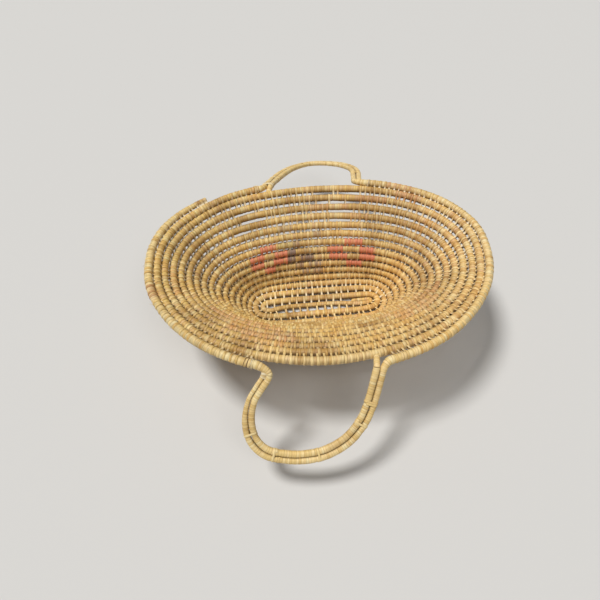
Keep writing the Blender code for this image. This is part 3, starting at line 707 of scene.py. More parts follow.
@dataclass(frozen=True)
class LongStitches:
    """Strands that go round their own coil and on through the coil before it."""

    spacing: float = 8.6 * MM
    spread: float = 1.9 * MM
    width: float = 3.5 * MM
    thickness: float = 0.40 * MM
    lift: float = 0.47 * MM
    lean: float = 0.8 * MM
    roots: Table = ((0.50, 0.42), (0.95, 0.40))
    waist: float = 0.33
    wrap_angles: tuple[float, ...] = (142, 114, 86, 57, 28)
    gap_reach: float = 2.6 * MM
    gap_narrowing: float = 0.12
    breadth_shares: tuple[float, float] = (0.8, 1.15)
    pale_shares: tuple[float, float] = (0.55, 1.0)
    pale_at_front: float = 0.45
    strand_span: tuple[float, float] = (0.3, 0.7)
    section: Table = ((-0.5, -0.6), (-0.34, 0.5), (0.34, 0.5), (0.5, -0.6))

    def places(self, length: float, chance: np.random.Generator, spacing: float = 0.0) -> Array:
        """Distances along a coil at which it is sewn, uneven as by hand."""
        step = spacing or self.spacing
        even = np.arange(step / 2, length, step)
        return even + chance.uniform(-1, 1, len(even)) * self.spread * step / self.spacing

    def surface(self, outer: CoilPath, inner: CoilPath, chance: np.random.Generator,
                stain: Optional[tuple[Dye, float]] = None) -> Surface:
        """Sew an outer coil to the inner coil beside it, one stitch at each pair of samples.

        Each stitch starts inside the inner coil, at the roots' shares of its radius outwards
        and up, crosses the gap at a waist, goes round the outer coil close to its wrapping
        and comes back across the gap below. Its section is a flat strand with sloping edges.
        It is palest in the gap, where no hand has rubbed it.

        Args:
            outer: places on the coil that carries the stitches.
            inner: places on the coil that they are sewn to.
            chance: source of small differences.
            stain: a dye and its amount for all of them, in place of the pattern's.

        Returns:
            All the stitches, one closed tube each.
        """
        between = outer.centre - inner.centre
        across = unit(between)
        over = unit(outer.over - across * np.sum(outer.over * across, axis=1, keepdims=True))
        along = np.cross(across, over)
        near = inner.radius + self.lift
        far = outer.radius + self.lift
        span = np.linalg.norm(between, axis=1)
        half = [(out_share * near, up_share * near) for out_share, up_share in self.roots]
        half.append(((near + span - far) / 2, self.waist * (near + far) / 2))
        half += [(span + far * math.cos(angle), far * math.sin(angle))
                 for angle in np.radians(self.wrap_angles)]
        outwards, upwards = ([pair[axis] for pair in half] for axis in (0, 1))
        reach = np.stack([*outwards, span + far, *outwards[::-1]], axis=1)
        height = np.stack([*upwards, 0 * span, *(-value for value in upwards[::-1])], axis=1)
        lean = chance.uniform(-1, 1, len(span)) * self.lean
        drift = lean[:, None] * (1 - reach / span[:, None]) * np.sign(height)
        centre = (inner.centre[:, None, :] + across[:, None, :] * reach[..., None]
                  + over[:, None, :] * height[..., None] + along[:, None, :] * drift[..., None])
        forward = unit(np.gradient(centre, axis=1))
        wide = np.broadcast_to(along[:, None, :], centre.shape)
        wide = unit(wide - forward * np.sum(wide * forward, axis=-1, keepdims=True))
        out = np.cross(wide, forward)
        middle = (near + (span - far - near) / 2)[:, None]
        in_gap = np.exp(-((reach - middle) / self.gap_reach) ** 2)
        breadth = (self.width * (1 - self.gap_narrowing * in_gap)
                   * chance.uniform(*self.breadth_shares, len(span))[:, None])
        grid = np.stack([centre + wide * (breadth * sideways)[..., None]
                         + out * (self.thickness * upward)
                         for sideways, upward in self.section], axis=2)
        number = (np.arange(len(span))[:, None]
                  + np.linspace(*self.strand_span, reach.shape[1])[None, :])
        dye = strand_dyes(outer.turn, outer.centre[:, 0])
        if stain:
            dye[:] = (*linear(stain[0].value), stain[1])
        hidden = np.where(outer.turn % 1 > 0.5, 1.0, self.pale_at_front)[:, None]
        pale = in_gap * hidden * chance.uniform(*self.pale_shares, len(span))[:, None]
        pale = pale * (dye[:, 3:] < 0.5)
        dye = np.repeat(dye[:, None, :], reach.shape[1], axis=1)
        dye[..., :3] = np.where(pale[..., None] > dye[..., 3:], linear(Dye.CREAM.value),
                                dye[..., :3])
        dye[..., 3] = np.maximum(dye[..., 3], pale)
        dye = np.repeat(dye[:, :, None, :], len(self.section), axis=2)
        return Surface(grid, number, dye)


@dataclass(frozen=True)
class RoundBoth:
    """A strand wound several times round two coils that lie side by side."""

    winds: float = 1.3
    pitch: float = 2.9 * MM
    width: float = 3.2 * MM
    thickness: float = 0.40 * MM
    lift: float = 0.30 * MM
    steps: int = 24
    crossing: float = 5.0
    slack: float = 0.03
    tone_step: int = 7
    section: Table = ((-0.5, -0.6), (-0.3, 0.5), (0.3, 0.5), (0.5, -0.6))

    def surface(self, middle: CoilPath, places: Array, half_pitch: float, radius: float,
                squareness: float, chance: np.random.Generator) -> Surface:
        """Wind the strand at each place along the line between the two coils.

        The strand follows a ring drawn out to go round both coils, and moves along as it
        goes. Crossing says how quickly it goes over from one coil to the other.

        Args:
            middle: the line midway between the two coils.
            places: distances along it of the strands' middles.
            half_pitch: half the distance between the coils.
            radius: the coils' radius.
            squareness: how square the coils' section is.
            chance: source of small differences.

        Returns:
            One closed tube for each place.
        """
        turned = np.linspace(0, self.winds, int(self.winds * self.steps))
        start = chance.uniform(0, 1, len(places))[:, None]
        angle = 2 * np.pi * (turned[None, :] + start)
        run = places[:, None] + (turned[None, :] - self.winds / 2) * self.pitch
        spot = middle.at(run.ravel())
        side, over, centre = (values.reshape(*run.shape, 3)
                              for values in (spot.side, spot.over, spot.centre))
        forward = np.cross(over, side)
        thin = spot.radius.reshape(run.shape) / radius
        hub = np.tanh(np.cos(angle) * self.crossing) * half_pitch * thin
        clear = (radius * thin + self.lift) * squared(angle, squareness)
        clear = clear * (1 + chance.uniform(0, self.slack, run.shape))
        out = np.cos(angle)[..., None] * side + np.sin(angle)[..., None] * over
        line = centre + side * hub[..., None] + out * clear[..., None]
        grid = np.stack([line + forward * self.width * wide + out * self.thickness * high
                         for wide, high in self.section], axis=2)
        count = (np.arange(len(places))[:, None] * self.tone_step + np.floor(turned)[None, :]
                 + 0.5)
        return Surface(grid, count, np.zeros(grid.shape[:3] + (4,)))


@dataclass(frozen=True)
class StrandFinish:
    """Dried grass or palm strand, split, dyed or plain, and wound by hand.

    It gives the eye dull gold bands that differ from strand to strand, fine fibres along each
    band, dark grooves between bands, and a soft gloss.
    """

    name: str
    tones: tuple[str, ...]
    groove_colour: str = "5A4328"
    groove_depth: float = 0.65
    groove_least: float = 0.2
    groove_from: float = 0.40
    specular: float = 0.4
    roughness: float = 0.5
    roughness_spread: tuple[float, float] = (-0.1, 0.15)
    fibre_scale: tuple[float, float, float] = (11.0, 2.5, 1.0)
    noise_detail: float = 3.0
    fibre_bump: float = 0.35
    fibre_height: float = 0.3 * MM
    streaks: tuple[tuple[float, str], ...] = ((0.30, "C4A26C"), (0.55, "FFFFFF"))
    streak_amount: float = 0.5
    dye_streak_amount: float = 0.35
    weathering: tuple[tuple[float, str], ...] = (
        (0.36, "AE925E"), (0.52, "FFFFFF"), (0.68, "FFEEC4"))
    patch_scale: float = 16.0
    patch_amount: float = 0.5
    # Strength of the painted shade, with some dust, in the creases between coils
    dust_and_shade_depth: float = 0.75
    left_tone: str = "B7A45C"
    right_tone: str = "CDA580"
    tone_drift: float = 0.30

    def material(self) -> bpy.types.Material:
        """Make the finish from the strand count u, the place round the coil v, and the dye.

        Each strand takes one of the tones by chance. Noise drawn out along the strand gives
        fibres, and slow noise over the object gives weathered patches.

        Returns:
            The material.
        """
        material = bpy.data.materials.new(self.name)
        material.use_nodes = True
        tree = material.node_tree
        shader = tree.nodes["Principled BSDF"]
        shader.inputs["Specular IOR Level"].default_value = self.specular
        uv = node(tree, "ShaderNodeUVMap", {"uv_map": "strand"})
        parts = node(tree, "ShaderNodeSeparateXYZ", {}, {"Vector": uv.outputs["UV"]})
        strand = node(tree, "ShaderNodeMath", {"operation": "FLOOR"}, {0: parts.outputs["X"]})
        share = node(tree, "ShaderNodeMath", {"operation": "FRACT"}, {0: parts.outputs["X"]})
        chance = node(tree, "ShaderNodeTexWhiteNoise", {"noise_dimensions": "1D"},
                      {"W": strand.outputs[0]})
        tone = node(tree, "ShaderNodeValToRGB",
                    {"interpolation": "CONSTANT",
                     "stops": [(place / len(self.tones), tone)
                               for place, tone in enumerate(self.tones)]},
                    {"Fac": chance.outputs["Value"]})
        place = node(tree, "ShaderNodeTexCoord")
        spot = node(tree, "ShaderNodeSeparateXYZ", {}, {"Vector": place.outputs["Object"]})
        across = node(tree, "ShaderNodeMath", {"operation": "MULTIPLY_ADD"},
                      {0: spot.outputs["X"], 1: 2.0, 2: 0.5})
        drift = node(tree, "ShaderNodeValToRGB",
                     {"stops": [(0.0, self.left_tone), (1.0, self.right_tone)]},
                     {"Fac": across.outputs[0]})
        colour = node(tree, "ShaderNodeMix", {"data_type": "RGBA"},
                      {0: self.tone_drift, 6: tone.outputs["Color"], 7: drift.outputs["Color"]})
        patches = node(tree, "ShaderNodeTexNoise", {},
                       {"Vector": place.outputs["Object"], "Scale": self.patch_scale,
                        "Detail": self.noise_detail})
        aged = node(tree, "ShaderNodeValToRGB", {"stops": self.weathering},
                    {"Fac": patches.outputs["Fac"]})
        colour = node(tree, "ShaderNodeMix", {"data_type": "RGBA", "blend_type": "MULTIPLY"},
                      {0: self.patch_amount, 6: colour.outputs[2], 7: aged.outputs["Color"]})
        stretched = node(tree, "ShaderNodeVectorMath", {"operation": "MULTIPLY"},
                         {0: uv.outputs["UV"], 1: self.fibre_scale})
        fibres = node(tree, "ShaderNodeTexNoise", {},
                      {"Vector": stretched.outputs[0], "Scale": 1.0,
                       "Detail": self.noise_detail})
        streaks = node(tree, "ShaderNodeValToRGB", {"stops": self.streaks},
                       {"Fac": fibres.outputs["Fac"]})
        colour = node(tree, "ShaderNodeMix", {"data_type": "RGBA", "blend_type": "MULTIPLY"},
                      {0: self.streak_amount, 6: colour.outputs[2],
                       7: streaks.outputs["Color"]})
        stain = node(tree, "ShaderNodeAttribute", {"attribute_name": "dye"})
        faded = node(tree, "ShaderNodeMix", {"data_type": "RGBA", "blend_type": "MULTIPLY"},
                     {0: self.dye_streak_amount, 6: stain.outputs["Color"],
                      7: streaks.outputs["Color"]})
        colour = node(tree, "ShaderNodeMix", {"data_type": "RGBA"},
                      {0: stain.outputs["Alpha"], 6: colour.outputs[2], 7: faded.outputs[2]})
        centred = node(tree, "ShaderNodeMath", {"operation": "SUBTRACT"},
                       {0: share.outputs[0], 1: 0.5})
        aside = node(tree, "ShaderNodeMath", {"operation": "ABSOLUTE"}, {0: centred.outputs[0]})
        border = node(tree, "ShaderNodeMath", {"operation": "ROUND"}, {0: parts.outputs["X"]})
        border_chance = node(tree, "ShaderNodeTexWhiteNoise", {"noise_dimensions": "1D"},
                             {"W": border.outputs[0]})
        darkness = node(tree, "ShaderNodeMapRange", {},
                        {"Value": border_chance.outputs["Value"],
                         "To Min": self.groove_depth * self.groove_least,
                         "To Max": self.groove_depth})
        groove = node(tree, "ShaderNodeMapRange", {},
                      {"Value": aside.outputs[0], "From Min": self.groove_from, "From Max": 0.5,
                       "To Max": darkness.outputs[0]})
        colour = node(tree, "ShaderNodeMix", {"data_type": "RGBA"},
                      {0: groove.outputs[0], 6: colour.outputs[2],
                       7: (*linear(self.groove_colour), 1.0)})
        # Painted shade, with some dust, in the creases between coils, mixed in the groove colour
        crease = node(tree, "ShaderNodeAttribute", {"attribute_name": "crease"})
        dust_and_shade_amount = node(tree, "ShaderNodeMath", {"operation": "MULTIPLY"},
                     {0: crease.outputs["Fac"], 1: self.dust_and_shade_depth})
        colour = node(tree, "ShaderNodeMix", {"data_type": "RGBA"},
                      {0: dust_and_shade_amount.outputs[0], 6: colour.outputs[2],
                       7: (*linear(self.groove_colour), 1.0)})
        tree.links.new(colour.outputs[2], shader.inputs["Base Color"])
        gloss = node(tree, "ShaderNodeMapRange", {},
                     {"Value": fibres.outputs["Fac"],
                      "To Min": self.roughness + self.roughness_spread[0],
                      "To Max": self.roughness + self.roughness_spread[1]})
        tree.links.new(gloss.outputs[0], shader.inputs["Roughness"])
        bump = node(tree, "ShaderNodeBump", {},
                    {"Height": fibres.outputs["Fac"], "Strength": self.fibre_bump,
                     "Distance": self.fibre_height})
        tree.links.new(bump.outputs[0], shader.inputs["Normal"])
        return material


@dataclass(frozen=True)
class PaintFinish:
    """Matt emulsion paint rolled on board: one even pale tone with hardly any shine."""

    name: str = "matt_painted_board"
    colour: str = "CECCC8"
    roughness: float = 0.9

    def material(self) -> bpy.types.Material:
        """Make the finish, the same all over."""
        material = bpy.data.materials.new(self.name)
        material.use_nodes = True
        shader = material.node_tree.nodes["Principled BSDF"]
        shader.inputs["Base Color"].default_value = (*linear(self.colour), 1)
        shader.inputs["Roughness"].default_value = self.roughness
        return material


@dataclass
class Finishes:
    """The basket's finishes, made once and shared."""

    coil: bpy.types.Material = field(init=False)
    handle: bpy.types.Material = field(init=False)
    stitch: bpy.types.Material = field(init=False)
    binding: bpy.types.Material = field(init=False)
    thread: bpy.types.Material = field(init=False)

    def __post_init__(self) -> None:
        """Make every material."""
        self.coil = StrandFinish(
            "wrapped_straw", ("F0CB84", "E5BA6B", "F9DA96", "D9B16B", "EAC386", "F4CF7C", "E1B56F",
                              "FAE4A5", "D0A55F", "EBC088"), groove_depth=0.8).material()
        self.handle = StrandFinish(
            "handle_straw", ("F5D898", "EDCF8A", "FAE0A2", "F1D390", "FAE6AE", "E8C782",
                             "F8DB9E"), groove_depth=0.7, patch_amount=0.3, dust_and_shade_depth=0.6,
            tone_drift=0.10).material()
        self.stitch = StrandFinish(
            "sewing_straw", ("EFD08B", "E5BF76", "F8DC9D", "DFB76E", "EBCA83"),
            groove_depth=0.0, tone_drift=0.15).material()
        self.binding = StrandFinish(
            "pale_binding_straw", ("EADBB4", "E2CC9C", "F0E4C4", "DBC28E"),
            groove_depth=0.0, tone_drift=0.05).material()
        self.thread = StrandFinish(
            "brown_mending_thread", ("7A5032", "875C3C", "6B4428"), groove_colour="3A2012",
            left_tone="7A5032", right_tone="7A5032", roughness=0.6).material()


@dataclass
class CoiledBody:
    """The basket's base, wall and rim: one wrapped coil, sewn round by round.

    Parting is the share of a round at which one node ends and the next begins. Bare stretches
    of the back wall have no stitches: each has a round number and two X in millimetres.
    """

    route: CoilRoute
    move: Array
    finishes: Finishes
    wrapping: Wrapping = Wrapping()
    stitches: LongStitches = LongStitches()
    parting: float = 0.70
    wall_rounds: int = 15
    samples_per_turn: int = 1500
    base_turns: float = 3.0
    base_spacing: float = 12.5 * MM
    first_sewn_turn: float = 1.03
    middle_row_x: tuple[float, float] = (-84 * MM, 46 * MM)
    middle_row: tuple[float, float] = (0.03, 0.47)
    first_back_row: tuple[float, float] = (0.52, 0.98)
    spacing_seed: int = 100
    stitch_seed: int = 500
    tip_rounding: float = 5 * MM
    end_rounding: float = 6 * MM
    # Painted highlight, with some wear, on the rim's outer side at the basket's ends
    rim_wear_and_highlight: float = 0.75
    # Share of painted shade, with some dust, on round 15's side under the rim
    dust_and_shade_below_rim: float = 0.4
    end_sewing: tuple[float, float, int] = (0.003, 0.014, 5)
    end_stain: tuple[Dye, float] = (Dye.RUST, 0.3)
    bare: tuple[tuple[int, float, float], ...] = (
        (14, 6, 28), (14, 44, 74), (13, 8, 25), (13, 28, 52), (13, 54, 78), (12, 30, 60),
        (11, 26, 54), (10, 46, 70), (13, -128, -104), (12, -118, -84), (11, -132, -112))

    def fine(self, first: float, last: float) -> CoilPath:
        """The coil between two turn counts, sampled about every millimetre."""
        samples = int((last - first) * self.samples_per_turn) + 8
        return self.route.path(np.linspace(first, last, samples), self.move)

    def sewn_turns(self, first: float, last: float, seed: int) -> Array:
        """Turn counts of the stitches on a stretch of coil, without the bare stretches."""
        path = self.fine(first, last)
        chance = np.random.default_rng(seed)
        spacing = self.base_spacing if last < self.base_turns else 0.0
        places = self.stitches.places(path.run[-1], chance, spacing)
        found = path.at(places)
        keep = found.turn > self.first_sewn_turn
        for number, start, end in self.bare:
            keep &= ~((np.floor(found.turn) == number) & (found.turn % 1 > 0.5)
                      & (found.centre[:, 0] > start * MM) & (found.centre[:, 0] < end * MM))
        return found.turn[keep]

    def middle_turns(self) -> tuple[Array, Array]:
        """Turn counts that join the first back row to the middle row of the base."""
        x = np.arange(*self.middle_row_x, self.base_spacing)
        back = np.array([self.route.turn_at_x(value, *self.first_back_row) for value in x])
        middle = np.array([self.route.turn_at_x(value, *self.middle_row) for value in x])
        return back, middle

    def build(self, stops: dict[str, float]) -> None:
        """Wind and sew every round.

        Args:
            stops: turn counts where the coil stops beside the handles' legs.
        """
        spans = [("base_start_coil", self.route.start_turn, self.parting)]
        for number in range(1, self.wall_rounds + 1):
            last = number + self.parting if number < self.wall_rounds else stops["back_left"]
            spans.append((f"round_{number:02d}_coil", number - 1 + self.parting, last))
        rim_end = self.route.rim_end_turn
        spans.append(("right_rim_coil", stops["back_right"], stops["front_right"]))
        spans.append(("left_rim_coil", stops["front_left"], rim_end))
        sewn = {name: self.sewn_turns(first, last, self.spacing_seed + number)
                for number, (name, first, last) in enumerate(spans)}
        beside = {name: self.route.beside(turns) for name, turns in sewn.items()}
        back, middle = self.middle_turns()
        every = np.concatenate([*sewn.values(), *beside.values(), back, middle])
        for number, (name, first, last) in enumerate(spans):
            path = self.fine(first, last)
            inside = every[(every > first) & (every < last)]
            tied = np.interp(inside, path.turn, path.run)
            rounded = (self.tip_rounding if number == 0 else 0.0,
                       self.end_rounding if last == rim_end else 0.0)
            at_rim = "rim" in name
            # Round 15 gets less painted shade under the rim; the rim's open side gets none
            under_rim = self.dust_and_shade_below_rim if number == self.wall_rounds else 1.0
            # The rim's ends get the painted highlight with some wear
            surface = self.wrapping.surface(path, number, tied, self.rim_wear_and_highlight if at_rim else 0.0,
                                            rounded, (0.0 if at_rim else under_rim, 1.0))
            piece = surface.build(name + "_wrapped",
                                  self.finishes.handle if at_rim else self.finishes.coil)
            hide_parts(name)
            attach(piece, "basket")
            if len(sewn[name]):
                self.sew(name, sewn[name], beside[name], number)
        self.sew("base_middle", back, middle, 90)
        ending = rim_end - np.linspace(*self.end_sewing)
        self.sew("rim_end", ending, self.route.beside(ending), 91, self.end_stain)

    def sew(self, name: str, turns: Array, to_turns: Array, seed: int,
            stain: Optional[tuple[Dye, float]] = None) -> None:
        """Add the stitches of one round as one piece."""
        chance = np.random.default_rng(self.stitch_seed + seed)
        surface = self.stitches.surface(self.route.path(turns, self.move),
                                        self.route.path(to_turns, self.move), chance, stain)
        piece = surface.build(name.replace("_coil", "") + "_stitches", self.finishes.stitch)
        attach(piece, "basket")


@dataclass
class HandleLoop:
    """A handle: two wrapped coils side by side in a drooping loop, tied to each other.

    The shape gives the loop's middle line as shares of the half span and of the reach. The
    thinning tables give each coil's thickness as a share, against the share of its length.
    Bent to inner tells, for the left and the right leg, whether the rim's coil bends into the
    inner coil there, as against the outer one. A coil that no bend comes to has a short end.
    """

    name: str
    route: CoilRoute
    finishes: Finishes
    middle_x: float
    half_span: float
    reach: float
    droop: float
    leg_turns: tuple[tuple[float, float], tuple[float, float]]
    side: Side
    shape: Table
    tie_shares: tuple[float, ...]
    bent_to_inner: tuple[bool, bool]
    outer_thinning: Table
    inner_thinning: Table
    coil_diameter: float = 8.0 * MM
    coil_pitch: float = 8.7 * MM
    growth: float = 1.05
    leg_gap: float = 0.4 * MM
    bend_reach: float = 12 * MM
    bend_room: float = 5 * MM
    short_end: float = 6 * MM
    tip_rounding: float = 4 * MM
    straight_leg: float = 12 * MM
    inner_end_shift: float = 1.5 * MM
    shape_samples: int = 900
    samples: int = 700
    ties: RoundBoth = RoundBoth()
    binding: RoundBoth = RoundBoth(winds=4.6, pitch=1.75 * MM, width=2.0 * MM,
                                   thickness=0.9 * MM, lift=0.45 * MM)
    binding_place: float = 12.5 * MM
    across: Array = field(init=False)
    middle: Array = field(init=False)
    outward: Array = field(init=False)
    square: Array = field(init=False)
    radius: float = field(init=False)
    clear_end: float = field(init=False)
    wrapping: Wrapping = Wrapping(sides=16, slant=0.5 * MM, strand_width=3.1 * MM,
                                  groove=0.14 * MM, loose=0.09 * MM, crown=0.07 * MM,
                                  fullness=0.2 * MM, squareness=2.7)

    def __post_init__(self) -> None:
        """Find the legs on the rim, the hinge line between them and the drooping plane."""
        left, right = (self.route.point(np.array(self.route.turn_at_x(
            self.middle_x + self.half_span * leg.value, *leg.of(self.leg_turns)))) for leg in Leg)
        self.across = unit(right - left)
        self.middle = (left + right) / 2
        level_out = unit(np.cross(self.across, [0.0, 0.0, 1.0]) * -self.side.value)
        upright = np.abs(np.cross(level_out, self.across))
        self.outward = unit(math.cos(self.droop) * level_out - math.sin(self.droop) * upright)
        self.square = np.cross(self.across, self.outward)
        self.radius = self.coil_diameter / 2
        self.clear_end = (self.half_span + self.coil_pitch / 2 + self.radius * self.growth
                          + self.leg_gap)

    def stop_turn(self, leg: Leg) -> float:
        """Turn count at which the rim's coil stops beside a leg."""
        point = self.middle + self.across * self.clear_end * leg.value
        return self.route.turn_at_x(float(point[0]), *leg.of(self.leg_turns))

    def path(self, offset: float, move: Array, thinning: Table,
             trim: tuple[float, float] = (0.0, 0.0)) -> CoilPath:
        """One coil of the loop, shifted sideways from its middle line.

        A thinner coil lies closer to the middle line, so the slit between the coils stays.

        Args:
            offset: shift to the left of the way along the loop.
            move: the step from the drawing's own place to the world's.
            thinning: shares of the coil's length, each with its thickness as a share.
            trim: length left off at the left and at the right leg.

        Returns:
            The coil's path from the left leg to the right leg.
        """
        flat = smooth_line(np.array(self.shape) * [self.half_span, self.reach],
                           self.shape_samples)
        run = np.concatenate([[0], np.cumsum(np.linalg.norm(np.diff(flat, axis=0), axis=1))])
        places = np.linspace(0, run[-1], self.samples)
        flat = np.stack([np.interp(places, run, flat[:, axis]) for axis in (0, 1)], axis=-1)
        direction = unit(np.gradient(flat, axis=0))
        blend = smooth_step(np.minimum(places, run[-1] - places) / self.straight_leg)[:, None]
        straight = np.where(places[:, None] < run[-1] / 2, [[0.0, 1.0]], [[0.0, -1.0]])
        direction = unit(direction * blend + straight * (1 - blend))
        left_hand = np.stack([-direction[:, 1], direction[:, 0]], axis=-1)
        radius = self.radius * eased(places / run[-1], thinning)
        shift = np.sign(offset) * (np.abs(offset) - (self.radius - radius) * (offset != 0))
        flat = flat + left_hand * shift[:, None]
        centre = self.middle + move + flat[:, :1] * self.across + flat[:, 1:] * self.outward
        side = left_hand[:, :1] * self.across + left_hand[:, 1:] * self.outward
        over = np.repeat(self.square[None, :], len(flat), axis=0)
        whole = CoilPath(centre, side, over, radius, np.full(len(flat), OFF_COIL))
        part = whole.at(np.linspace(trim[0], whole.run[-1] - trim[1], self.samples))
        # Made anew, so that its run starts at zero
        return CoilPath(part.centre, part.side, part.over, part.radius, part.turn)

    def coil(self, inner: bool, move: Array) -> CoilPath:
        """One of the two coils, without the part at each leg that a bend or a root stands for."""
        trim = tuple(self.bend_reach if taken == inner else self.short_end
                     for taken in self.bent_to_inner)
        return self.path(self.coil_pitch / 2 * (-1 if inner else 1), move,
                         self.inner_thinning if inner else self.outer_thinning, trim)

    def row_beside(self, leg: Leg) -> float:
        """Turn count of the place on the round before that the inner coil's end comes to."""
        x = self.middle_x + (self.half_span + self.inner_end_shift) * leg.value
        turn = self.route.turn_at_x(x, *leg.of(self.leg_turns))
        return float(self.route.beside(np.array([turn]))[0])

    def build(self, move: Array, seed: int) -> None:
        """Wind both coils, tie them together and bind the left leg."""
        round_end = tuple(self.tip_rounding * taken for taken in self.bent_to_inner)
        # Painted shade, with some dust, only on each coil's side along the slit
        for number, (label, path, rounded, dust_and_shade_sides) in enumerate((
                ("outer", self.coil(False, move), round_end, (0.0, 1.0)),
                ("inner", self.coil(True, move), (0.0, 0.0), (1.0, 0.0)))):
            tied = np.array(self.tie_shares) * path.run[-1]
            surface = self.wrapping.surface(path, seed + number, tied, rounded=rounded,
                                            dust_and_shade_sides=dust_and_shade_sides)
            piece = surface.build(f"{self.name}_{label}_coil_wrapped", self.finishes.handle)
            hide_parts(f"{self.name}_{label}_coil")
            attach(piece, self.name)
        middle = self.path(0.0, move, self.outer_thinning)
        self.wind("ties", self.ties, middle, np.array(self.tie_shares) * middle.run[-1],
                  self.finishes.handle, seed + 5)
        self.wind("leg_binding", self.binding, middle, np.array([self.binding_place]),
                  self.finishes.binding, seed + 6)
        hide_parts(f"{self.name}_lashing")

    def wind(self, label: str, strand: RoundBoth, middle: CoilPath, places: Array,
             material: bpy.types.Material, seed: int) -> None:
        """Add strands wound round both coils as one piece."""
        surface = strand.surface(middle, places, self.coil_pitch / 2, self.radius,
                                 self.wrapping.squareness, np.random.default_rng(seed))
        piece = surface.build(f"{self.name}_{label}", material)
        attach(piece, self.name)


@dataclass
class LegBend:
    """The coil's turn from the rim into a handle's leg, or the inner coil's root in the wall.

    A bend goes on from the rim's coil, along it. A root grows out of the side of the round
    that the leg stands on, where that coil was worked into it.
    """

    name: str
    handle: HandleLoop
    turn: float
    leg: Leg
    finishes: Finishes
    root: bool = False
    strength: float = 17 * MM
    root_strength: float = 9 * MM
    root_thickness: float = 0.95
    steps: int = 60
    wrapping: Wrapping = Wrapping(strand_width=3.2 * MM, slant=0.3 * MM, fullness=0.1 * MM,
                                  squareness=2.3)

    def build(self, route: CoilRoute, move: Array, seed: int) -> None:
        """Wind the bend.

        The middle line is a cubic that leaves its start along the rim, or from the middle of
        the round below towards the leg for a root, and comes into the leg along the leg.

        Args:
            route: the basket's coil.
            move: the step from the drawing's own place to the world's.
            seed: number for its chance differences.
        """
        rim = route.path(np.array([self.turn]), move)
        handle = self.handle
        coil = handle.coil(self.root or self.leg.of(handle.bent_to_inner), move)
        there = coil.at(np.array([self.leg.of((0.0, coil.run[-1]))]))
        down_leg = np.cross(there.over, there.side)[0]
        down_leg = down_leg * np.sign(down_leg @ handle.outward)
        start, end = rim.centre[0], there.centre[0]
        away = np.cross(rim.over, rim.side)[0]
        away = away * np.sign(away @ (handle.across * -self.leg.value))
        strength, thick = self.strength, rim.radius[0]
        if self.root:
            away, strength = unit(end - start), self.root_strength
            thick = self.root_thickness * there.radius[0]
        share = np.linspace(0, 1, self.steps)[:, None]
        pull_in, pull_out = away * strength, down_leg * strength
        centre = ((2 * share ** 3 - 3 * share ** 2 + 1) * start
                  + (share ** 3 - 2 * share ** 2 + share) * pull_in
                  + (3 * share ** 2 - 2 * share ** 3) * end + (share ** 3 - share ** 2) * pull_out)
        forward = unit(np.gradient(centre, axis=0))
        over = rim.over[0] + (handle.square * np.sign(rim.over[0] @ handle.square)
                              - rim.over[0]) * smooth_step(share)
        over = unit(over - forward * np.sum(over * forward, axis=1, keepdims=True))
        side = np.cross(forward, over)
        radius = thick + (there.radius[0] - thick) * share[:, 0]
        path = CoilPath(centre, side, over, radius, np.full(len(share), OFF_COIL))
        surface = self.wrapping.surface(path, seed, dust_and_shade_sides=(0.0, 0.0))
        piece = surface.build(self.name, self.finishes.handle)
        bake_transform(piece)


@dataclass
class RimLoops:
    """A thread or a thin strand wound round the rim by itself.

    It starts at a distance (place) from a turn count, on along the coil if way is 1 and back
    along it if way is -1.
    """

    name: str
    turn: float
    way: int
    finish: bpy.types.Material
    slot: str
    diameter: float = 0.8 * MM
    place: float = 9.0 * MM
    spacing: float = 4.0 * MM
    loops: float = 2.25
    lift: float = 0.3 * MM
    turn_span: float = 0.05
    samples: int = 400
    steps: int = 80
    sides: int = 8
    tone_step: int = 12

    def build(self, route: CoilRoute, move: Array) -> None:
        """Wind the thread: a spring shape about the rim's coil."""
        line = route.path(self.turn + self.way * np.linspace(0, self.turn_span, self.samples),
                          move)
        winds = np.linspace(0, self.loops, self.steps)
        spot = line.at(self.place + winds * self.spacing)
        angle = 2 * np.pi * winds
        out = np.cos(angle)[:, None] * spot.side + np.sin(angle)[:, None] * spot.over
        along = np.cross(spot.over, spot.side)
        hub = spot.radius + self.diameter / 2 + self.lift
        centre = spot.centre + out * hub[:, None]
        round_angle = np.arange(self.sides) * 2 * np.pi / self.sides
        grid = (centre[:, None] + self.diameter / 2
                * (np.cos(round_angle)[None, :, None] * out[:, None]
                   + np.sin(round_angle)[None, :, None] * along[:, None]))
        surface = Surface(grid[None], (winds * self.tone_step)[None],
                          np.zeros((1,) + grid.shape[:2] + (4,)))
        piece = surface.build(self.name, self.finish)
        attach(piece, "basket")


@dataclass(frozen=True)
class LooseEnd:
    """The free end of a strand that has come out of the rim's wrapping.

    It has a turn count, an angle round the coil from its outer side, a length, and a lean
    along the coil as a share of its length.
    """

    turn: float
    angle: float
    length: float
    lean: float


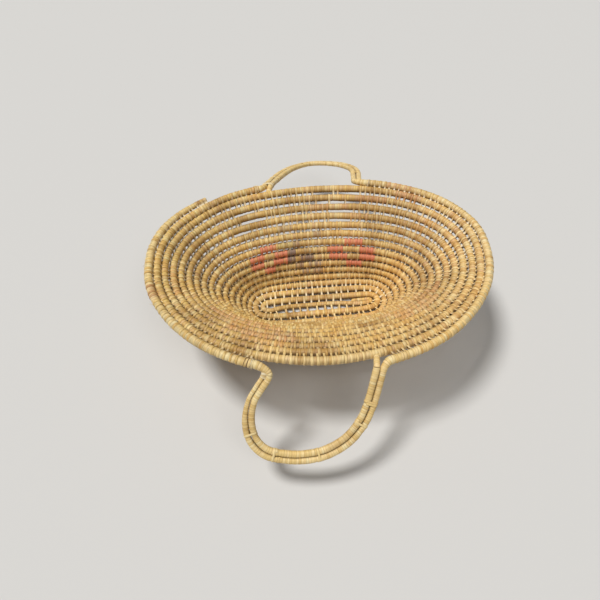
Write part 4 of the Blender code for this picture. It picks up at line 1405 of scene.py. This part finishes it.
@dataclass
class LooseEnds:
    """Frayed strand ends along the rim, as one piece."""

    name: str
    finish: bpy.types.Material
    ends: tuple[LooseEnd, ...]
    width: float = 1.3 * MM
    thickness: float = 0.35 * MM
    steps: int = 10
    depth: float = 0.8
    curl: float = 0.35
    taper: float = 0.85
    strand_span: tuple[float, float] = (0.3, 0.4)
    section: Table = ((-0.5, 0.0), (0.0, 0.5), (0.5, 0.0), (0.0, -0.5))

    def build(self, route: CoilRoute, move: Array) -> None:
        """Curl each end off the coil.

        Its middle line starts under the wrapping at an angle round the coil, at the depth's
        share of the radius, and leaves along an arc that leans more along the coil as it goes.
        It narrows almost to a point.

        Args:
            route: the basket's coil.
            move: the step from the drawing's own place to the world's.
        """
        turns, angles, lengths, leans = np.array(
            [(end.turn, end.angle, end.length, end.lean) for end in self.ends]).T
        spot = route.path(turns, move)
        share = np.linspace(0, 1, self.steps)
        out = np.cos(angles)[:, None] * spot.side + np.sin(angles)[:, None] * spot.over
        forward = np.cross(spot.over, spot.side)
        rise = (spot.radius[:, None] * self.depth
                + lengths[:, None] * (share - self.curl * share ** 2))
        drift = lengths[:, None] * leans[:, None] * share ** 2
        centre = (spot.centre[:, None] + out[:, None] * rise[..., None]
                  + forward[:, None] * drift[..., None])
        breadth = self.width * (1 - self.taper * share)[None, :, None]
        flat = np.cross(out, forward)[:, None]
        grid = np.stack([centre + flat * breadth * wide
                         + forward[:, None] * self.thickness * high
                         for wide, high in self.section], axis=2)
        start, span = self.strand_span
        count = np.arange(len(turns))[:, None] + start + span * share[None, :]
        piece = Surface(grid, count, np.zeros(grid.shape[:3] + (4,))).build(self.name, self.finish)
        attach(piece, "basket")


@dataclass(frozen=True)
class Lamp:
    """A far lamp that shines from its place to the basket, its disc as wide as its spread."""

    name: str
    place: tuple[float, float, float]
    spread: float
    power: float


@dataclass
class Studio:
    """Plain pale floor, soft lights, and the camera at the photograph's angle."""

    floor_finish: PaintFinish = PaintFinish()
    floor_half: float = 6.0
    lamps: tuple[Lamp, ...] = (
        Lamp("high_soft_light", (-1.3, 0.4, 3.3), math.radians(14), 2.65),
        Lamp("front_soft_light", (0.7, -1.6, 3.0), math.radians(30), 0.7))
    lit_height: float = 0.05
    room_colour: str = "F6F7F9"
    room_strength: float = 0.16
    lens: float = 29.91
    sensor: float = 36.0
    spot: tuple[float, float, float] = (-71.2 * MM, -475.9 * MM, 690 * MM)
    look: tuple[float, float, float] = (0.0509, 0.5818, -0.8118)
    roll: float = math.radians(1.35)

    def build(self, move: Array) -> None:
        """Set the floor, lights, world and camera."""
        self.lay_floor()
        self.light()
        self.set_camera(move)

    def lay_floor(self) -> None:
        """Lay one flat square of painted board."""
        half = self.floor_half
        mesh = bpy.data.meshes.new("floor")
        mesh.from_pydata([(-half, -half, 0), (half, -half, 0), (half, half, 0), (-half, half, 0)],
                         [], [(0, 1, 2, 3)])
        mesh.materials.append(self.floor_finish.material())
        floor = bpy.data.objects.new("floor", mesh)
        bpy.context.collection.objects.link(floor)

    def light(self) -> None:
        """Send soft light from high up and a little from in front, in a room seen as pale."""
        for lamp in self.lamps:
            light = bpy.data.lights.new(lamp.name, "SUN")
            light.energy, light.angle = lamp.power, lamp.spread
            holder = bpy.data.objects.new(lamp.name, light)
            holder.location = lamp.place
            shine = Vector((0, 0, self.lit_height)) - Vector(lamp.place)
            holder.rotation_euler = shine.to_track_quat("-Z", "Y").to_euler()
            bpy.context.collection.objects.link(holder)
        world = bpy.data.worlds.new("pale_room")
        world.use_nodes = True
        tree = world.node_tree
        dim = tree.nodes["Background"]
        dim.inputs["Color"].default_value = (*linear(self.room_colour), 1)
        dim.inputs["Strength"].default_value = self.room_strength
        seen = node(tree, "ShaderNodeBackground", {},
                    {"Color": (*linear(self.floor_finish.colour), 1), "Strength": 1.0})
        ray = node(tree, "ShaderNodeLightPath")
        mixed = node(tree, "ShaderNodeMixShader", {},
                     {0: ray.outputs["Is Camera Ray"], 1: dim.outputs[0], 2: seen.outputs[0]})
        tree.links.new(mixed.outputs[0], tree.nodes["World Output"].inputs["Surface"])
        bpy.context.scene.world = world

    def set_camera(self, move: Array) -> None:
        """Place the camera: forward is the look, and the roll turns it about the look."""
        forward = unit(np.array(self.look))
        right = unit(np.cross(forward, [0.0, 0.0, 1.0]))
        up = np.cross(right, forward)
        rolled = right * math.cos(self.roll) + up * math.sin(self.roll)
        up = np.cross(rolled, forward)
        data = bpy.data.cameras.new("camera")
        data.lens, data.sensor_width = self.lens, self.sensor
        camera = bpy.data.objects.new("camera", data)
        turned = Matrix(np.stack([rolled, up, -forward], axis=1).tolist()).to_4x4()
        place = np.array(self.spot) + move
        camera.matrix_world = Matrix.Translation(Vector(place.tolist())) @ turned
        bpy.context.collection.objects.link(camera)
        bpy.context.scene.camera = camera
        bpy.context.scene.view_settings.view_transform = "Standard"


FRONT_SHAPE = (
    (-1.00, 0.00), (-1.00, 0.10), (-1.13, 0.22), (-1.27, 0.36), (-1.33, 0.56), (-1.26, 0.77),
    (-1.03, 0.92), (-0.66, 0.98), (-0.30, 0.985), (0.05, 0.94), (0.40, 0.82), (0.66, 0.64),
    (0.82, 0.43), (0.94, 0.18), (0.99, 0.06), (1.00, 0.00))
BACK_SHAPE = (
    (-1.00, 0.00), (-0.97, 0.09), (-0.80, 0.33), (-0.58, 0.59), (-0.31, 0.82), (0.04, 0.98),
    (0.34, 1.015), (0.63, 0.97), (0.92, 0.855), (1.10, 0.68), (1.14, 0.49), (1.08, 0.28),
    (1.01, 0.09), (1.00, 0.00))
RIM_FRAYS = tuple(LooseEnd(turn, math.radians(angle), length * MM, lean) for turn, angle, length,
                  lean in ((16.505, 10, 7, 0.7), (16.452, -5, 6, -0.8), (16.437, 20, 8, 0.5),
                           (16.395, 0, 7, 0.9), (16.388, 15, 5, -0.4), (16.33, 5, 4, 0.6),
                           (16.10, 0, 4, 0.8), (16.02, 10, 4, -0.7), (15.97, 25, 5, 0.6),
                           (15.43, 15, 4, 0.5), (15.12, 70, 4, -0.9), (15.88, 40, 4, 0.7)))
THREAD_ENDS = (LooseEnd(16.507, math.radians(60), 9 * MM, 0.9),
               LooseEnd(16.500, math.radians(35), 7 * MM, -0.5),
               LooseEnd(12.385, math.radians(80), 8 * MM, 1.2))


def main() -> None:
    """Build the basket in order."""
    logging.basicConfig(level=logging.INFO, format="%(message)s")
    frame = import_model()
    route = CoilRoute()
    finishes = Finishes()
    front = HandleLoop(
        "front_handle", route, finishes, middle_x=-14.9 * MM, half_span=71.6 * MM,
        reach=121 * MM, droop=math.radians(43.0), leg_turns=((16.25, 16.48), (16.02, 16.25)),
        side=Side.FRONT, shape=FRONT_SHAPE, tie_shares=(0.27, 0.395, 0.56, 0.76, 0.845),
        bent_to_inner=(True, False),
        outer_thinning=((0.0, 0.6), (0.1, 0.62), (0.3, 1.0), (1.0, 1.0)),
        inner_thinning=((0.0, 1.0), (1.0, 1.0)))
    back = HandleLoop(
        "back_handle", route, finishes, middle_x=-0.5 * MM, half_span=74.0 * MM,
        reach=153 * MM, droop=math.radians(26.5), leg_turns=((15.52, 15.75), (15.75, 15.98)),
        side=Side.BACK, shape=BACK_SHAPE, tie_shares=(0.14, 0.3, 0.44, 0.58, 0.70, 0.86),
        bent_to_inner=(False, True),
        outer_thinning=((0.0, 1.0), (0.2, 1.0), (0.45, 0.8), (0.7, 0.85), (0.85, 1.0),
                        (1.0, 1.0)),
        inner_thinning=((0.0, 1.0), (0.2, 1.0), (0.45, 0.85), (0.7, 0.85), (0.85, 1.0),
                        (1.0, 1.0)))
    hinges = {joint["name"]: joint for joint in frame["joints"]}
    move = np.array(hinges["front_handle_hinge"]["pos_m"]) - front.middle
    legs = (("front_right", front, Leg.RIGHT), ("front_left", front, Leg.LEFT),
            ("back_right", back, Leg.RIGHT), ("back_left", back, Leg.LEFT))
    # The coil winds to the left along the front and to the right along the back
    stops = {name: route.shifted(handle.stop_turn(leg),
                                 leg.value * handle.side.value * handle.bend_room)
             for name, handle, leg in legs}
    CoiledBody(route, move, finishes).build(stops)
    front.build(move, seed=31)
    back.build(move, seed=47)
    for number, (name, handle, leg) in enumerate(legs):
        bend = LegBend(name + "_bend", handle, stops[name], leg, finishes)
        bend.build(route, move, seed=70 + number)
        if not leg.of(handle.bent_to_inner):
            root = LegBend(name + "_root", handle, handle.row_beside(leg), leg, finishes,
                           root=True)
            root.build(route, move, seed=80 + number)
    for loops in (
            RimLoops("front_thread_loops", front.stop_turn(Leg.LEFT), 1, finishes.thread,
                     "brown_thread"),
            RimLoops("back_thread_loops", route.rim_end_turn, -1, finishes.thread,
                     "brown_thread", diameter=0.6 * MM),
            RimLoops("front_left_pale_loops", front.stop_turn(Leg.LEFT), 1, finishes.binding,
                     "pale_straw_binding", diameter=1.2 * MM, place=6.5 * MM,
                     spacing=1.6 * MM, loops=1.6),
            RimLoops("back_left_pale_loops", back.stop_turn(Leg.LEFT), -1, finishes.binding,
                     "pale_straw_binding", diameter=1.3 * MM, place=5.8 * MM,
                     spacing=1.9 * MM, loops=3.4),
            RimLoops("back_right_pale_loops", back.stop_turn(Leg.RIGHT), 1, finishes.binding,
                     "pale_straw_binding", diameter=1.1 * MM, place=7.0 * MM,
                     spacing=1.9 * MM, loops=2.4)):
        loops.build(route, move)
    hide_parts("front_mending_thread")
    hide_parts("back_mending_thread")
    LooseEnds("loose_strand_ends", finishes.binding, RIM_FRAYS).build(route, move)
    LooseEnds("loose_thread_ends", finishes.thread, THREAD_ENDS, width=0.7 * MM,
              thickness=0.6 * MM).build(route, move)
    Studio().build(move)


if __name__ == "__main__":
    main()
